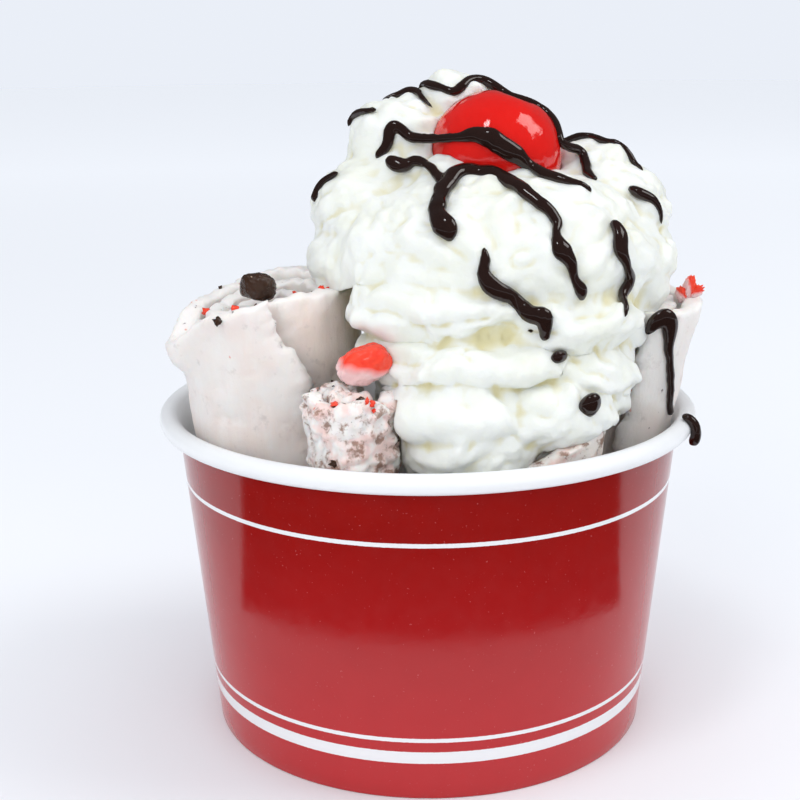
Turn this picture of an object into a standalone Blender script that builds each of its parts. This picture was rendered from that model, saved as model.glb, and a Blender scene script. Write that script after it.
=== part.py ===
"""Hot fudge sundae in a printed paper cup.

A 12 oz paper cup is packed with rolls of ice cream that stand on end. Whipped cream is
heaped over them, with a cherry on top and hot fudge drizzled across the whole.
The origin is the centre of the cup's foot, +Z is up and the front of the sundae faces -Y.
Dimensions below are millimetres; the mesh builders turn them into metres.
"""
import math

import bmesh
import bpy
from mathutils import Matrix, Vector, noise
from mathutils.bvhtree import BVHTree

MM = 0.001
CLEAR = 0.32
SLIVER = 0.04

# Cup
CUP_HEIGHT = 61.0
CUP_FOOT_RADIUS = 41.0
CUP_RIM_RADIUS = 50.0
CUP_PAPER = 0.55
RIM_BEAD = 1.75
BASE_RECESS = 6.0
BASE_SKIRT_FOOT = 0.9
HEM_HEIGHT = 5.2
CUP_SEGMENTS = 44

# Ice cream, laid out on a plane level with the rim
SHEET = 3.1
SHEET_PITCH = 4.15
ROLL_CORE = 3.4
ROLL_FOOT = BASE_RECESS + CUP_PAPER + 0.35
RIM_LEVEL = CUP_HEIGHT - 3.0
RIM_INNER_RADIUS = 46.2
FOOT_INNER_RADIUS = 40.6
ROLL_SPACE_SIDES = 26
ROLL_SPACE_MARGIN = 0.9

# Whipped cream
CREAM_CENTRE = (11.5, -7.0, 86.0)
CREAM_VOXEL = 1.25
CREAM_TRIANGLES = 3500

# Cherry
CHERRY_RADIUS = 11.8
CHERRY_CENTRE = (12.4, -5.5, 106.3)
CHERRY_TILT = 20.0

# Hot fudge
STRAND_STEP = 4.6
STRAND_SINK = 0.35
STRAND_START = 70.0


def clear_scene():
    """Remove the objects that a new file starts with."""
    for obj in list(bpy.data.objects):
        bpy.data.objects.remove(obj, do_unlink=True)


def new_collection(name):
    """A collection linked to the scene."""
    collection = bpy.data.collections.new(name)
    bpy.context.scene.collection.children.link(collection)
    return collection


def new_material(name, colour, roughness, metallic=0.0):
    """A Principled material with one colour."""
    material = bpy.data.materials.new(name)
    material.use_nodes = True
    shader = material.node_tree.nodes["Principled BSDF"]
    shader.inputs["Base Color"].default_value = (*colour, 1.0)
    shader.inputs["Roughness"].default_value = roughness
    shader.inputs["Metallic"].default_value = metallic
    return material


def object_from_bmesh(name, bm, collection):
    """Write a bmesh, in millimetres, to a new object."""
    mesh = bpy.data.meshes.new(name)
    bmesh.ops.scale(bm, vec=(MM, MM, MM), verts=bm.verts)
    bm.to_mesh(mesh)
    bm.free()
    obj = bpy.data.objects.new(name, mesh)
    collection.objects.link(obj)
    return obj


def bake(obj):
    """Apply an object's modifiers, or turn a curve into a mesh, and weld what coincides."""
    name = obj.name
    depsgraph = bpy.context.evaluated_depsgraph_get()
    mesh = bpy.data.meshes.new_from_object(obj.evaluated_get(depsgraph))
    bm = bmesh.new()
    bm.from_mesh(mesh)
    bmesh.ops.remove_doubles(bm, verts=bm.verts, dist=0.00001)
    bmesh.ops.recalc_face_normals(bm, faces=bm.faces)
    bm.to_mesh(mesh)
    bm.free()
    baked = bpy.data.objects.new(name, mesh)
    baked.matrix_world = obj.matrix_world
    for collection in obj.users_collection:
        collection.objects.link(baked)
    bpy.data.objects.remove(obj, do_unlink=True)
    baked.name = name
    return baked


def finish_surface(obj, material, angle=40):
    """Give an object its material and smooth shading with sharp corners."""
    obj.data.materials.clear()
    obj.data.materials.append(material)
    obj.data.shade_smooth()
    obj.data.set_sharp_from_angle(angle=math.radians(angle))


def hide_helper(obj):
    """Mark a cutter, which is no part of the sundae."""
    obj.hide_render = True
    obj.display_type = "WIRE"


def boolean(obj, operation, collection):
    """Apply one Boolean with every object of a collection."""
    modifier = obj.modifiers.new(operation.lower(), "BOOLEAN")
    modifier.operation = operation
    modifier.solver = "EXACT"
    modifier.operand_type = "COLLECTION"
    modifier.collection = collection
    return bake(obj)


def keep_largest_body(obj):
    """Weld the slivers that a cut leaves, and drop its loose scraps."""
    bm = bmesh.new()
    bm.from_mesh(obj.data)
    bmesh.ops.remove_doubles(bm, verts=bm.verts, dist=SLIVER * MM)
    bmesh.ops.dissolve_degenerate(bm, edges=bm.edges, dist=SLIVER * MM / 2)
    bmesh.ops.triangulate(bm, faces=bm.faces)
    unseen = set(bm.verts)
    bodies = []
    while unseen:
        stack = [unseen.pop()]
        body = set(stack)
        while stack:
            for edge in stack.pop().link_edges:
                for vert in edge.verts:
                    if vert in unseen:
                        unseen.remove(vert)
                        body.add(vert)
                        stack.append(vert)
        bodies.append(body)
    bodies.sort(key=len)
    for body in bodies[:-1]:
        bmesh.ops.delete(bm, geom=list(body), context="VERTS")
    bm.to_mesh(obj.data)
    bm.free()


def empty_collection(collection):
    """Remove what a collection holds."""
    for obj in list(collection.objects):
        bpy.data.objects.remove(obj, do_unlink=True)


def smooth_step(value):
    """Ease from 0 to 1."""
    value = min(1.0, max(0.0, value))
    return value * value * (3 - 2 * value)


def uneven(point, size, seed=0.0):
    """Smooth noise from -1 to 1, with lumps about as large as size."""
    return noise.noise(Vector(point) / size + Vector((seed, seed * 1.7, -seed)))


def nearness(angle, middle, width):
    """1 at an angle round a circle, falling to 0 within about twice a width in degrees."""
    off = (angle - middle + 180) % 360 - 180
    return math.exp(-((off / width) ** 2))


# Cup


def wall_radius(z):
    """Outer radius of the cup's conical wall at a height."""
    top = CUP_RIM_RADIUS - 2 * RIM_BEAD + 0.4
    return CUP_FOOT_RADIUS + (top - CUP_FOOT_RADIUS) * z / CUP_HEIGHT


def cup_profile():
    """Closed section of the cup's wall: outside, rolled rim, inside and turned-in hem."""
    bead_x = CUP_RIM_RADIUS - RIM_BEAD
    bead_z = CUP_HEIGHT - RIM_BEAD
    points = [(wall_radius(bead_z), bead_z)]
    for z in (40.0, 20.0, 0.4):
        points.append((wall_radius(z), z))
    hem_outer = wall_radius(0) - CUP_PAPER - 2 * CLEAR - CUP_PAPER
    hem_inner = hem_outer - CUP_PAPER
    points += [(wall_radius(0) - 0.3, 0.0), (hem_inner + 0.1, 0.0), (hem_inner, HEM_HEIGHT)]
    points += [(hem_outer, HEM_HEIGHT), (hem_outer, CUP_PAPER), (wall_radius(0) - CUP_PAPER, CUP_PAPER)]
    for z in (20.0, 40.0, bead_z):
        points.append((wall_radius(z) - CUP_PAPER, z))
    for step in range(1, 9):
        angle = math.radians(180 - 30 * step)
        points.append((bead_x + RIM_BEAD * math.cos(angle), bead_z + RIM_BEAD * math.sin(angle)))
    return points


def turned(name, profile, collection, closed=True):
    """Turn a section of (radius, height) into a solid; an open one starts and ends on the axis."""
    bm = bmesh.new()
    verts = [bm.verts.new((x, 0, z)) for x, z in profile]
    for first, second in zip(verts, verts[1:]):
        bm.edges.new((first, second))
    if closed:
        bm.edges.new((verts[-1], verts[0]))
    obj = object_from_bmesh(name, bm, collection)
    screw = obj.modifiers.new("turn", "SCREW")
    screw.steps = CUP_SEGMENTS
    screw.render_steps = CUP_SEGMENTS
    screw.use_merge_vertices = True
    screw.merge_threshold = 0.00001
    return bake(obj)


def make_cup_base(parts):
    """The recessed disc that closes the cup, with its skirt down inside the hem."""
    outer = wall_radius(0) - CUP_PAPER - CLEAR
    inner = outer - CUP_PAPER
    top = BASE_RECESS + CUP_PAPER
    profile = [(0, top), (outer, top), (outer, BASE_SKIRT_FOOT), (inner, BASE_SKIRT_FOOT)]
    profile += [(inner, BASE_RECESS), (0, BASE_RECESS)]
    return turned("cup_base", profile, parts, closed=False)


# Rolls of ice cream


class Roll:
    """One sheet of ice cream rolled up and stood on end in the cup."""

    def __init__(self, name, place, radius, top, fall=(0, 0), start=0, turn=1, **extra):
        self.name = name
        self.place = place
        self.radius = radius
        self.top = top
        self.fall = fall
        self.start = start
        self.turn = turn
        self.lean = extra.get("lean", (0, 0))
        self.flare = extra.get("flare", 0.0)
        self.lip = extra.get("lip")
        self.dip = extra.get("dip")
        self.cap = extra.get("cap", 120.0)
        self.hollow = extra.get("hollow", 2.0)
        self.ragged = extra.get("ragged", 0.7)
        self.levels = extra.get("levels", 2)
        self.sides = extra.get("sides", 13)

    def place_point(self, radius, angle, height):
        """Where a point of the roll stands: rolls spread with the cup's taper and lean out above it."""
        spread = FOOT_INNER_RADIUS + (RIM_INNER_RADIUS - FOOT_INNER_RADIUS) * height / RIM_LEVEL
        spread /= RIM_INNER_RADIUS
        above = max(0.0, height - RIM_LEVEL) / 25
        radius *= 1 + self.flare * above * above
        if self.lip:
            rise = smooth_step((height - RIM_LEVEL - 4) / 12)
            radius += self.lip["reach"] * nearness(angle, self.lip["angle"], self.lip["width"]) * rise
        x = (self.place[0] + radius * math.cos(math.radians(angle))) * spread
        y = (self.place[1] + radius * math.sin(math.radians(angle))) * spread
        return (x + self.lean[0] * above, y + self.lean[1] * above, height)

    def top_height(self, radius, angle):
        """Height of the roll's uneven upper end."""
        x = radius * math.cos(math.radians(angle))
        y = radius * math.sin(math.radians(angle))
        height = min(self.cap, self.top + self.fall[0] * x + self.fall[1] * y)
        height -= self.hollow * (1 - radius / self.radius)
        if self.dip:
            outer = smooth_step((radius / self.radius - 0.74) / 0.1)
            height -= self.dip["depth"] * nearness(angle, self.dip["angle"], self.dip["width"]) * outer
        return height + self.ragged * uneven((x, y, self.top), 3.5)


def roll_sheet(roll, collection):
    """The rolled sheet: a spiral surface with thickness."""
    outer = roll.radius - SHEET / 2
    turns = (outer - ROLL_CORE) / SHEET_PITCH
    along = round(turns * roll.sides)
    bm = bmesh.new()
    bmesh.ops.create_grid(bm, x_segments=along, y_segments=roll.levels, size=0.5)
    for vert in bm.verts:
        share = vert.co.x + 0.5
        radius = outer - SHEET_PITCH * turns * share
        angle = roll.start + roll.turn * 360 * turns * share
        top = roll.top_height(radius, angle)
        height = ROLL_FOOT + (top - ROLL_FOOT) * (1 - (0.5 - vert.co.y) ** 1.35)
        radius += 0.22 * uneven((angle / 9, height / 4, roll.top), 1.0)
        vert.co = roll.place_point(radius, angle, height)
    obj = object_from_bmesh(roll.name, bm, collection)
    shell = obj.modifiers.new("thickness", "SOLIDIFY")
    shell.thickness = SHEET * MM
    shell.offset = 0
    shell.use_even_offset = True
    return bake(obj)


def roll_space(roll, collection):
    """The whole space that a roll takes, for cutting what rests on it."""
    bm = bmesh.new()
    bmesh.ops.create_cone(bm, cap_ends=True, cap_tris=True, segments=ROLL_SPACE_SIDES,
                          radius1=1, radius2=1, depth=1)
    sides = [edge for edge in bm.edges if abs(edge.verts[0].co.z - edge.verts[1].co.z) > 0.5]
    bmesh.ops.subdivide_edges(bm, edges=sides, cuts=5, use_grid_fill=True)
    for vert in bm.verts:
        share = vert.co.z + 0.5
        angle = math.degrees(math.atan2(vert.co.y, vert.co.x))
        reach = Vector((vert.co.x, vert.co.y)).length * (roll.radius + ROLL_SPACE_MARGIN)
        margin = CLEAR + roll.ragged + roll.hollow * SHEET / roll.radius
        top = roll.top_height(min(reach, roll.radius), angle) + margin
        vert.co = roll.place_point(reach, angle, ROLL_FOOT + (top - ROLL_FOOT) * share)
    space = object_from_bmesh(roll.name + "_space", bm, collection)
    hide_helper(space)
    return space


def ice_cream_rolls():
    """The seven rolls, front left first and then round by the right."""
    lip = {"angle": 205, "width": 30, "reach": 2.6}
    dip = {"angle": 205, "width": 20, "depth": 4.3}
    return [
        Roll("ice_cream_roll_left", (-25.6, -13.5), 17.4, 86.0, (0.33, 0.05), -60, -1,
             lean=(0.3, 0), lip=lip, dip=dip, cap=86.6, hollow=5.5, levels=4, sides=15),
        Roll("ice_cream_roll_front_left", (-13.0, -35.4), 8.6, 70.6, (-0.05, 0.1), 20, -1,
             hollow=1.5, ragged=0.8, levels=3, sides=14),
        Roll("ice_cream_roll_front_right", (20.0, -27.6), 11.4, 60.5, (0.42, 0.1), 200, 1, cap=65.0, hollow=1.0),
        Roll("ice_cream_roll_right", (33.3, -4.7), 12.6, 81.5, (-0.08, 0.13), -85, 1,
             lean=(2.7, -0.4), flare=0.04, cap=82.0, hollow=2.5, levels=4, sides=15),
        Roll("ice_cream_roll_back_right", (24.8, 22.2), 12.0, 80.5, (0, -0.1), 10, 1, lean=(1.2, 1.6)),
        Roll("ice_cream_roll_back", (1.2, 33.0), 12.3, 79.5, (-0.05, -0.08), 300, -1, lean=(0, 2.2)),
        Roll("ice_cream_roll_back_left", (-23.6, 19.8), 14.4, 81.0, (0.15, -0.06), 60, 1,
             lean=(-0.6, 1.4), hollow=3.0),
    ]


# Whipped cream


def cream_lobes():
    """Soft lobes of the heap: centre and half sizes, from the crown down."""
    return [
        ((6, 4, 111), (9, 9, 10)),
        ((-4, 0, 107.3), (10.2, 10, 9.7)),
        ((11.3, -7, 89), (31.7, 28, 17.5)),
        ((29, 0, 98), (12, 13, 10)),
        ((34, -3, 96), (10, 12, 9)),
        ((-9.5, -4, 97.5), (11, 13, 9)),
        ((-3, -5, 101.5), (10, 10, 8)),
        ((-8.5, -12, 89), (12.5, 13, 8)),
        ((10, 12, 92), (21, 15, 14)),
        ((32, -6, 87), (13, 16, 11)),
        ((4, -24, 83), (18, 14, 6.5)),
        ((20, -22, 81), (17, 14, 6.5)),
        ((31, -11, 79), (9, 13, 7)),
        ((7, -24, 75), (19, 16, 6.5)),
        ((22, -20, 72), (14, 15, 8)),
        ((5, -30.5, 67), (13, 13, 8)),
        ((19, -28, 66), (12.5, 12, 7.5)),
        ((7, -33, 61), (12.5, 10.5, 7)),
        ((25, -20, 67), (10, 11, 7)),
        ((5.5, -12.5, 102.5), (7.5, 6, 5.5)),
        ((14, -15, 101), (9, 5, 5.3)),
        ((10, -2, 66), (20, 20, 20)),
        ((8, 12, 76), (18, 14, 12)),
    ]


def make_cream(collection):
    """Lobes run together into one heap, with the lumps of cream that was squirted on."""
    bm = bmesh.new()
    for centre, half in cream_lobes():
        place = Matrix.Translation(centre) @ Matrix.Diagonal((*half, 1))
        bmesh.ops.create_uvsphere(bm, u_segments=32, v_segments=20, radius=1, matrix=place)
    heap = object_from_bmesh("whipped_cream", bm, collection)
    remesh = heap.modifiers.new("run together", "REMESH")
    remesh.mode = "VOXEL"
    remesh.voxel_size = CREAM_VOXEL * MM
    heap = bake(heap)
    for vert, normal in [(vert, vert.normal.copy()) for vert in heap.data.vertices]:
        point = vert.co / MM
        lump = abs(uneven(point, 8.5)) * 2.6 - 0.9 + abs(uneven(point, 4.2, 3.0)) * 1.1
        vert.co += normal * lump * MM
    decimate = heap.modifiers.new("fewer faces", "DECIMATE")
    decimate.ratio = CREAM_TRIANGLES / (2 * len(heap.data.polygons))
    return bake(heap)


def cup_wall_space(collection):
    """The rim and wall with clearance, for cutting what rests inside."""
    outside = CUP_RIM_RADIUS + 8
    top = CUP_HEIGHT + CLEAR
    profile = [(FOOT_INNER_RADIUS - CLEAR, 0), (outside, 0), (outside, top), (RIM_INNER_RADIUS, top)]
    space = turned("cup_wall_space", profile, collection)
    hide_helper(space)
    return space


# Cherry and the other pieces


def make_cherry(collection, radius=CHERRY_RADIUS, name="cherry"):
    """A round cherry, a little flattened, with the dimple of its stalk."""
    bm = bmesh.new()
    bmesh.ops.create_uvsphere(bm, u_segments=20, v_segments=14, radius=radius)
    for vert in bm.verts:
        from_axis = Vector((vert.co.x, vert.co.y)).length
        if vert.co.z > 0:
            vert.co.z -= 1.5 * math.exp(-(from_axis / 2.2) ** 2)
        vert.co.z *= 0.97
    bmesh.ops.rotate(bm, verts=bm.verts, matrix=Matrix.Rotation(math.radians(CHERRY_TILT), 3, "Y"))
    bmesh.ops.translate(bm, verts=bm.verts, vec=CHERRY_CENTRE)
    return object_from_bmesh(name, bm, collection)


def make_chunk(name, place, half, tilt, collection, seed, grow=0.0):
    """A rough piece of fruit or cookie."""
    bm = bmesh.new()
    bmesh.ops.create_icosphere(bm, subdivisions=2, radius=1)
    for vert in bm.verts:
        vert.co *= 1 + 0.3 * uneven(vert.co, 0.8, seed)
        vert.co = Vector([side * (size + grow) for side, size in zip(vert.co, half)])
    bmesh.ops.rotate(bm, verts=bm.verts, matrix=Matrix.Rotation(math.radians(tilt), 3, "Y"))
    bmesh.ops.translate(bm, verts=bm.verts, vec=place)
    return object_from_bmesh(name, bm, collection)


CHUNKS = {
    "strawberry_piece_front": ((-10.2, -33.6, 75.4), (4.5, 3.2, 2.9), -18, 5.0),
    "strawberry_piece_right": ((47.6, -5.0, 84.2), (2.2, 2.8, 2.6), 20, 9.0),
    "cookie_chunk": ((-29.6, -15.5, 85.2), (3.4, 3.0, 2.7), 25, 2.0),
}


# Hot fudge, as routes of (azimuth, elevation, half width) round the centre of what it lies on

FUDGE_IN_FRONT = [
    [(-172, 44, 0.8), (178, 49, 1.0), (176, 54, 1.2), (175, 60, 1.1), (-178, 65, 1.0)],
    [(-62, 62, 1.3), (-55, 53, 1.2), (-48, 44, 0.9), (-37, 36, 0.7)],
    [(-167, 48, 1.0), (-159, 49, 1.6), (-156, 54, 1.2), (-143, 55, 1.0), (-123, 48, 1.2)],
    [(-107, 19, 1.2), (-109, 24, 2.0), (-115, 31, 1.6), (-119, 45, 1.6), (-116, 56, 1.6), (-104, 58, 1.5),
     (-89, 56, 1.4), (-80, 49, 1.4), (-74, 39, 1.3), (-69, 33, 1.2), (-66, 27, 1.1), (-68, 22, 0.9)],
    [(-68, 20, 1.0), (-68, 16, 1.7), (-65, 11, 1.1), (-64, 6, 0.9), (-62, 2, 1.2), (-61, -2, 0.7)],
    [(-95, 18, 0.7), (-94, 14, 0.9), (-95, 9, 1.2), (-91, 4, 1.5), (-85, 1, 1.3), (-80, -4, 1.4),
     (-76, -5, 1.5), (-75, -10, 1.1), (-75, -13, 0.9)],
    [(-74, -17, 1.0), (-71, -17, 1.2), (-67, -17, 0.8)],
    [(-65, -27, 1.6), (-62, -27, 1.6)],
    [(-41, 24, 0.9), (-42, 18, 1.6), (-44, 13, 1.5), (-42, 8, 1.0), (-38, 3, 1.1), (-41, -1, 1.1), (-48, -6, 0.7)],
]
FUDGE_AT_THE_SIDES = [
    [(30, 58, 0.9), (26, 50, 0.9), (12, 44, 0.8), (5, 36, 0.8), (0, 33, 0.7)],
    [(-12, 33, 0.9), (-13, 29, 1.4), (-12, 23, 0.9), (-10, 16, 0.7)],
    [(-179, 22, 1.1), (179, 26, 1.0), (-180, 30, 0.9), (-177, 34, 0.7)],
    [(166, 44, 0.8), (165, 47, 0.9), (170, 51, 0.9), (174, 55, 0.7)],
    [(156, 54, 0.8), (150, 58, 1.0), (148, 61, 1.2), (158, 67, 0.8), (164, 70, 0.7)],
]
FUDGE_BEHIND = [
    [(150, 46, 1.0), (132, 52, 1.5), (112, 46, 1.2), (98, 52, 1.6), (76, 44, 1.3), (58, 50, 1.4), (40, 42, 0.9)],
    [(140, 30, 1.6), (128, 20, 1.2), (122, 6, 1.4), (118, -4, 1.0)],
    [(104, 34, 0.9), (92, 24, 1.5), (88, 10, 1.6), (80, 0, 1.0)],
    [(70, 34, 0.9), (58, 26, 1.4), (50, 12, 1.1), (38, 4, 1.4), (34, -2, 0.9)],
    [(30, 34, 0.8), (20, 24, 1.3), (16, 10, 0.9), (14, 2, 1.2)],
    [(170, 16, 0.8), (160, 8, 1.3), (156, -2, 1.0)],
]
FUDGE_ON_CHERRY = [
    [(-164, 6, 1.0), (-150, 16, 1.0), (-117, 25, 1.4), (-93, 21, 1.7), (-68, 10, 1.5), (-50, 0, 1.1)],
    [(152, 46, 0.8), (112, 62, 1.0), (60, 62, 1.0), (25, 46, 1.0), (4, 26, 1.0), (-14, 8, 0.9)],
]

# Drips as routes of (angle, height, half width) down the right roll and (radius, height, half width) over the rim

ROLL_DRIP = [(-74, 78.2, 1.5), (-67, 77.2, 1.5), (-63, 74.4, 1.0), (-56, 70.6, 0.9), (-48, 66.5, 0.9),
             (-39, 62.0, 0.9)]
RIM_DRIP = [(48.2, 60.6, 0.9), (49.6, 60.0, 1.2), (50.0, 58.4, 1.3), (49.6, 56.8, 1.4)]
RIM_DRIP_ANGLE = -21.0


def spline_through(points, step):
    """Points evenly spread along a smooth curve through the given ones."""
    ends = [points[0] * 2 - points[1], *points, points[-1] * 2 - points[-2]]
    result = []
    for before, first, second, after in zip(ends, ends[1:], ends[2:], ends[3:]):
        count = max(1, round((second - first).length / step))
        for index in range(count):
            t = index / count
            result.append(0.5 * (2 * first + (second - before) * t
                                 + (2 * before - 5 * first + 4 * second - after) * t ** 2
                                 + (3 * first - before - 3 * second + after) * t ** 3))
    return [*result, points[-1]]


def surface_of(obj):
    """A tree of an object's surface, for laying fudge on it."""
    tree = BVHTree.FromPolygons([vert.co for vert in obj.data.vertices],
                                [tuple(face.vertices) for face in obj.data.polygons])
    return tree


def lay_on(tree, centre, azimuth, elevation):
    """The outermost point of a surface in a direction from a centre, in millimetres."""
    azimuth, elevation = math.radians(azimuth), math.radians(elevation)
    away = Vector((math.cos(azimuth) * math.cos(elevation),
                   math.sin(azimuth) * math.cos(elevation), math.sin(elevation)))
    hit = tree.ray_cast((Vector(centre) + away * STRAND_START) * MM, -away)[0]
    return hit / MM


def make_strand(points, widths, collection):
    """A tube of fudge through points in millimetres, with a half width at each."""
    line = spline_through([Vector((*point, width)) for point, width in zip(points, widths)], STRAND_STEP)
    curve = bpy.data.curves.new("fudge", "CURVE")
    curve.dimensions = "3D"
    curve.bevel_depth = MM
    curve.bevel_resolution = 1
    curve.use_fill_caps = True
    spline = curve.splines.new("POLY")
    spline.points.add(len(line) - 1)
    for index, (target, place) in enumerate(zip(spline.points, line)):
        target.co = (*(place.xyz * MM), 1)
        end = min(index, len(line) - 1 - index)
        target.radius = place.w * (0.6 if end == 0 else 1.0)
    strand = bpy.data.objects.new("fudge", curve)
    collection.objects.link(strand)
    return bake(strand)


def fuse(obj, collection):
    """Join the fudge in a collection to what it lies on."""
    obj = boolean(obj, "UNION", collection)
    empty_collection(collection)
    keep_largest_body(obj)
    return obj


def lay_routes(obj, centre, routes, collection, grow=0.0):
    """Lay strands on a round surface."""
    tree = surface_of(obj)
    for route in routes:
        points = []
        for azimuth, elevation, width in route:
            point = lay_on(tree, centre, azimuth, elevation)
            points.append(point + (point - Vector(centre)).normalized() * width * STRAND_SINK)
        hide_helper(make_strand(points, [place[2] + grow for place in route], collection))


def fudge_on_roll(obj, roll, collection):
    """A drip that has run down the outside of a roll."""
    points = []
    for angle, height, _ in ROLL_DRIP:
        radius = roll.radius + 0.3 - SHEET_PITCH * (angle - roll.start) / 360
        points.append(roll.place_point(radius, angle, height))
    make_strand(points, [width for _, _, width in ROLL_DRIP], collection)
    return fuse(obj, collection)


def fudge_on_rim(obj, collection):
    """A drop that has run over the cup's rim."""
    turn = math.radians(RIM_DRIP_ANGLE)
    points = [(radius * math.cos(turn), radius * math.sin(turn), height) for radius, height, _ in RIM_DRIP]
    make_strand(points, [width for _, _, width in RIM_DRIP], collection)
    return fuse(obj, collection)


def main():
    clear_scene()
    parts = new_collection("hot_fudge_sundae")
    cutters = new_collection("cutters")
    paper = new_material("printed_paper", (0.42, 0.01, 0.02), 0.25)
    inside = new_material("white_paper", (0.85, 0.86, 0.87), 0.4)
    ice_cream = new_material("ice_cream", (0.72, 0.64, 0.58), 0.5)
    cream = new_material("whipped_cream", (0.92, 0.9, 0.82), 0.45)
    cherry_skin = new_material("cherry", (0.6, 0.01, 0.01), 0.1)
    fruit = new_material("strawberry", (0.8, 0.06, 0.04), 0.3)
    cookie = new_material("cookie", (0.03, 0.015, 0.01), 0.5)

    fudge = new_collection("fudge")

    cup = fudge_on_rim(turned("cup", cup_profile(), parts), fudge)
    finish_surface(cup, paper)
    finish_surface(make_cup_base(parts), inside)
    for roll in ice_cream_rolls():
        sheet = roll_sheet(roll, parts)
        if roll.name == "ice_cream_roll_right":
            sheet = fudge_on_roll(sheet, roll, fudge)
        finish_surface(sheet, ice_cream)
        roll_space(roll, cutters)
    cup_wall_space(cutters)
    for name, (place, half, tilt, seed) in CHUNKS.items():
        chunk = make_chunk(name, place, half, tilt, parts, seed)
        finish_surface(chunk, cookie if "cookie" in name else fruit, 60)
        hide_helper(make_chunk(name + "_space", place, half, tilt, cutters, seed, CLEAR))
    cherry = make_cherry(parts)
    lay_routes(cherry, CHERRY_CENTRE, FUDGE_ON_CHERRY, fudge)
    cherry = fuse(cherry, fudge)
    finish_surface(cherry, cherry_skin)

    heap = make_cream(parts)
    lay_routes(heap, CREAM_CENTRE, FUDGE_IN_FRONT + FUDGE_AT_THE_SIDES + FUDGE_BEHIND, fudge)
    heap = fuse(heap, fudge)
    seat = make_cherry(cutters, CHERRY_RADIUS + CLEAR, "cherry_space")
    hide_helper(seat)
    lay_routes(seat, CHERRY_CENTRE, FUDGE_ON_CHERRY, cutters, CLEAR)
    heap = boolean(heap, "DIFFERENCE", cutters)
    keep_largest_body(heap)
    finish_surface(heap, cream, 60)
    empty_collection(cutters)


main()
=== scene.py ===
"""Looks of a hot fudge sundae: a printed paper cup, rolls of ice cream, whipped cream,
a cherry and hot fudge.

Sizes are millimetres in the constants and metres in the meshes. Places follow the frame.
"""

import math
from itertools import product

import bmesh
import bpy
import numpy as np
from mathutils import Euler, Matrix, Vector
from mathutils.bvhtree import BVHTree


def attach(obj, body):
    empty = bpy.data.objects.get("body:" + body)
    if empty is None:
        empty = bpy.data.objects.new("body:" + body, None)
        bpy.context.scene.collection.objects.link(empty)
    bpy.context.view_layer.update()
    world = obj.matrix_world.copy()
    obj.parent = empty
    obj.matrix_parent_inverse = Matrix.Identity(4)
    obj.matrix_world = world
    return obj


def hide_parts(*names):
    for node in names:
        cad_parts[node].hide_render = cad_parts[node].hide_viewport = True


MM = 0.001

# Cup
CUP_HEIGHT = 61.0
CUP_FOOT_RADIUS = 41.0
CUP_RIM_RADIUS = 50.0
CUP_PAPER = 0.55
RIM_BEAD = 1.75
HEM_HEIGHT = 5.2
HEM_INSET = 1.74
CUP_SEGMENTS = 240
SEAM_ANGLE = 96.0
SEAM_LAP = 13.0
SEAM_STEP = 0.32
STRIPES = ((8.2, 2.2), (11.6, 0.7), (48.0, 0.7))

# Rolls of ice cream
SHEET = 3.1
SHEET_PITCH = 4.15
ROLL_CORE = 3.4
ROLL_FOOT = 6.9
RIM_LEVEL = CUP_HEIGHT - 3.0
RIM_INNER_RADIUS = 46.2
FOOT_INNER_RADIUS = 40.6
DEEP = 44.0
LIP_FROM = 4.0
LIP_RISE = 12.0
TEAR_RISE = 26.0
TEAR_SHADE_FROM = 0.93
TEAR_SHADE_WIDTH = 0.055

# Whipped cream and cherry
CREAM_CENTRE = (11.5, -7.0, 86.0)
CREAM_VOXEL = 0.55
CHERRY_RADIUS = 11.8
CHERRY_CENTRE = (12.4, -5.5, 106.3)
CHERRY_TILT = 20.0

# Hot fudge: where rays towards the heap start, and the radius that a route's steps are measured at
RAY_START = 70.0
ROUTE_BALL = 30.0
STRAND_STEP = 0.6
RIM_STEP = 0.5
STRAND_SIDES = 16
ROLL_DRIP_SEED = 30
RIM_DRIP_SEED = 31
FUDGE_VOXEL = 0.28

# Rough pieces: name, node, slot, place, half sizes, turns in degrees, seed, how jagged and how boxy
CHUNKS = [
    ("strawberry_front", "strawberry_piece_front", "strawberry",
     (-10.2, -34.0, 75.3), (4.5, 3.0, 3.0), (14, -24, 4), 5, 0.12, 2.6),
    ("strawberry_shard_0", "strawberry_piece_right", "strawberry",
     (47.6, -5.0, 82.2), (1.0, 0.9, 2.2), (6, 12, 10), 9, 0.5, 2.4),
    ("strawberry_shard_1", "strawberry_piece_right", "strawberry",
     (46.2, -5.4, 81.2), (0.9, 0.8, 1.4), (0, -14, 0), 10, 0.5, 2.4),
    ("strawberry_shard_2", "strawberry_piece_right", "strawberry",
     (48.6, -4.8, 81.4), (1.8, 0.9, 0.9), (0, -40, -10), 11, 0.5, 2.4),
    ("cookie", "cookie_chunk", "cookie",
     (-29.4, -15.8, 85.1), (3.0, 2.6, 2.4), (0, 12, 30), 2, 0.1, 2.6),
    ("ice_cream_crumble", "ice_cream_roll_front_left", "ice_cream",
     (-13.3, -36.3, 63.2), (5.9, 5.9, 8.4), (0, 0, 0), 14, 0.3, 2.3),
]

# Crumbs: the height they start at, and each roll's share of them
CRUMBS_FROM = 57.0
CRUMB_SHARES = {"left": 0.28, "front_left": 0.24, "right": 0.04, "front_right": 0.05, "back_left": 0.12,
                "back": 0.11, "back_right": 0.10}

# Camera of the photograph
CAMERA_PLACE = (0.0, -263.2, 129.6)
CAMERA_DOWN = 14.74
CAMERA_LEFT = 1.11
CAMERA_ROLL = -0.62
CAMERA_LENS = 64.7

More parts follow.
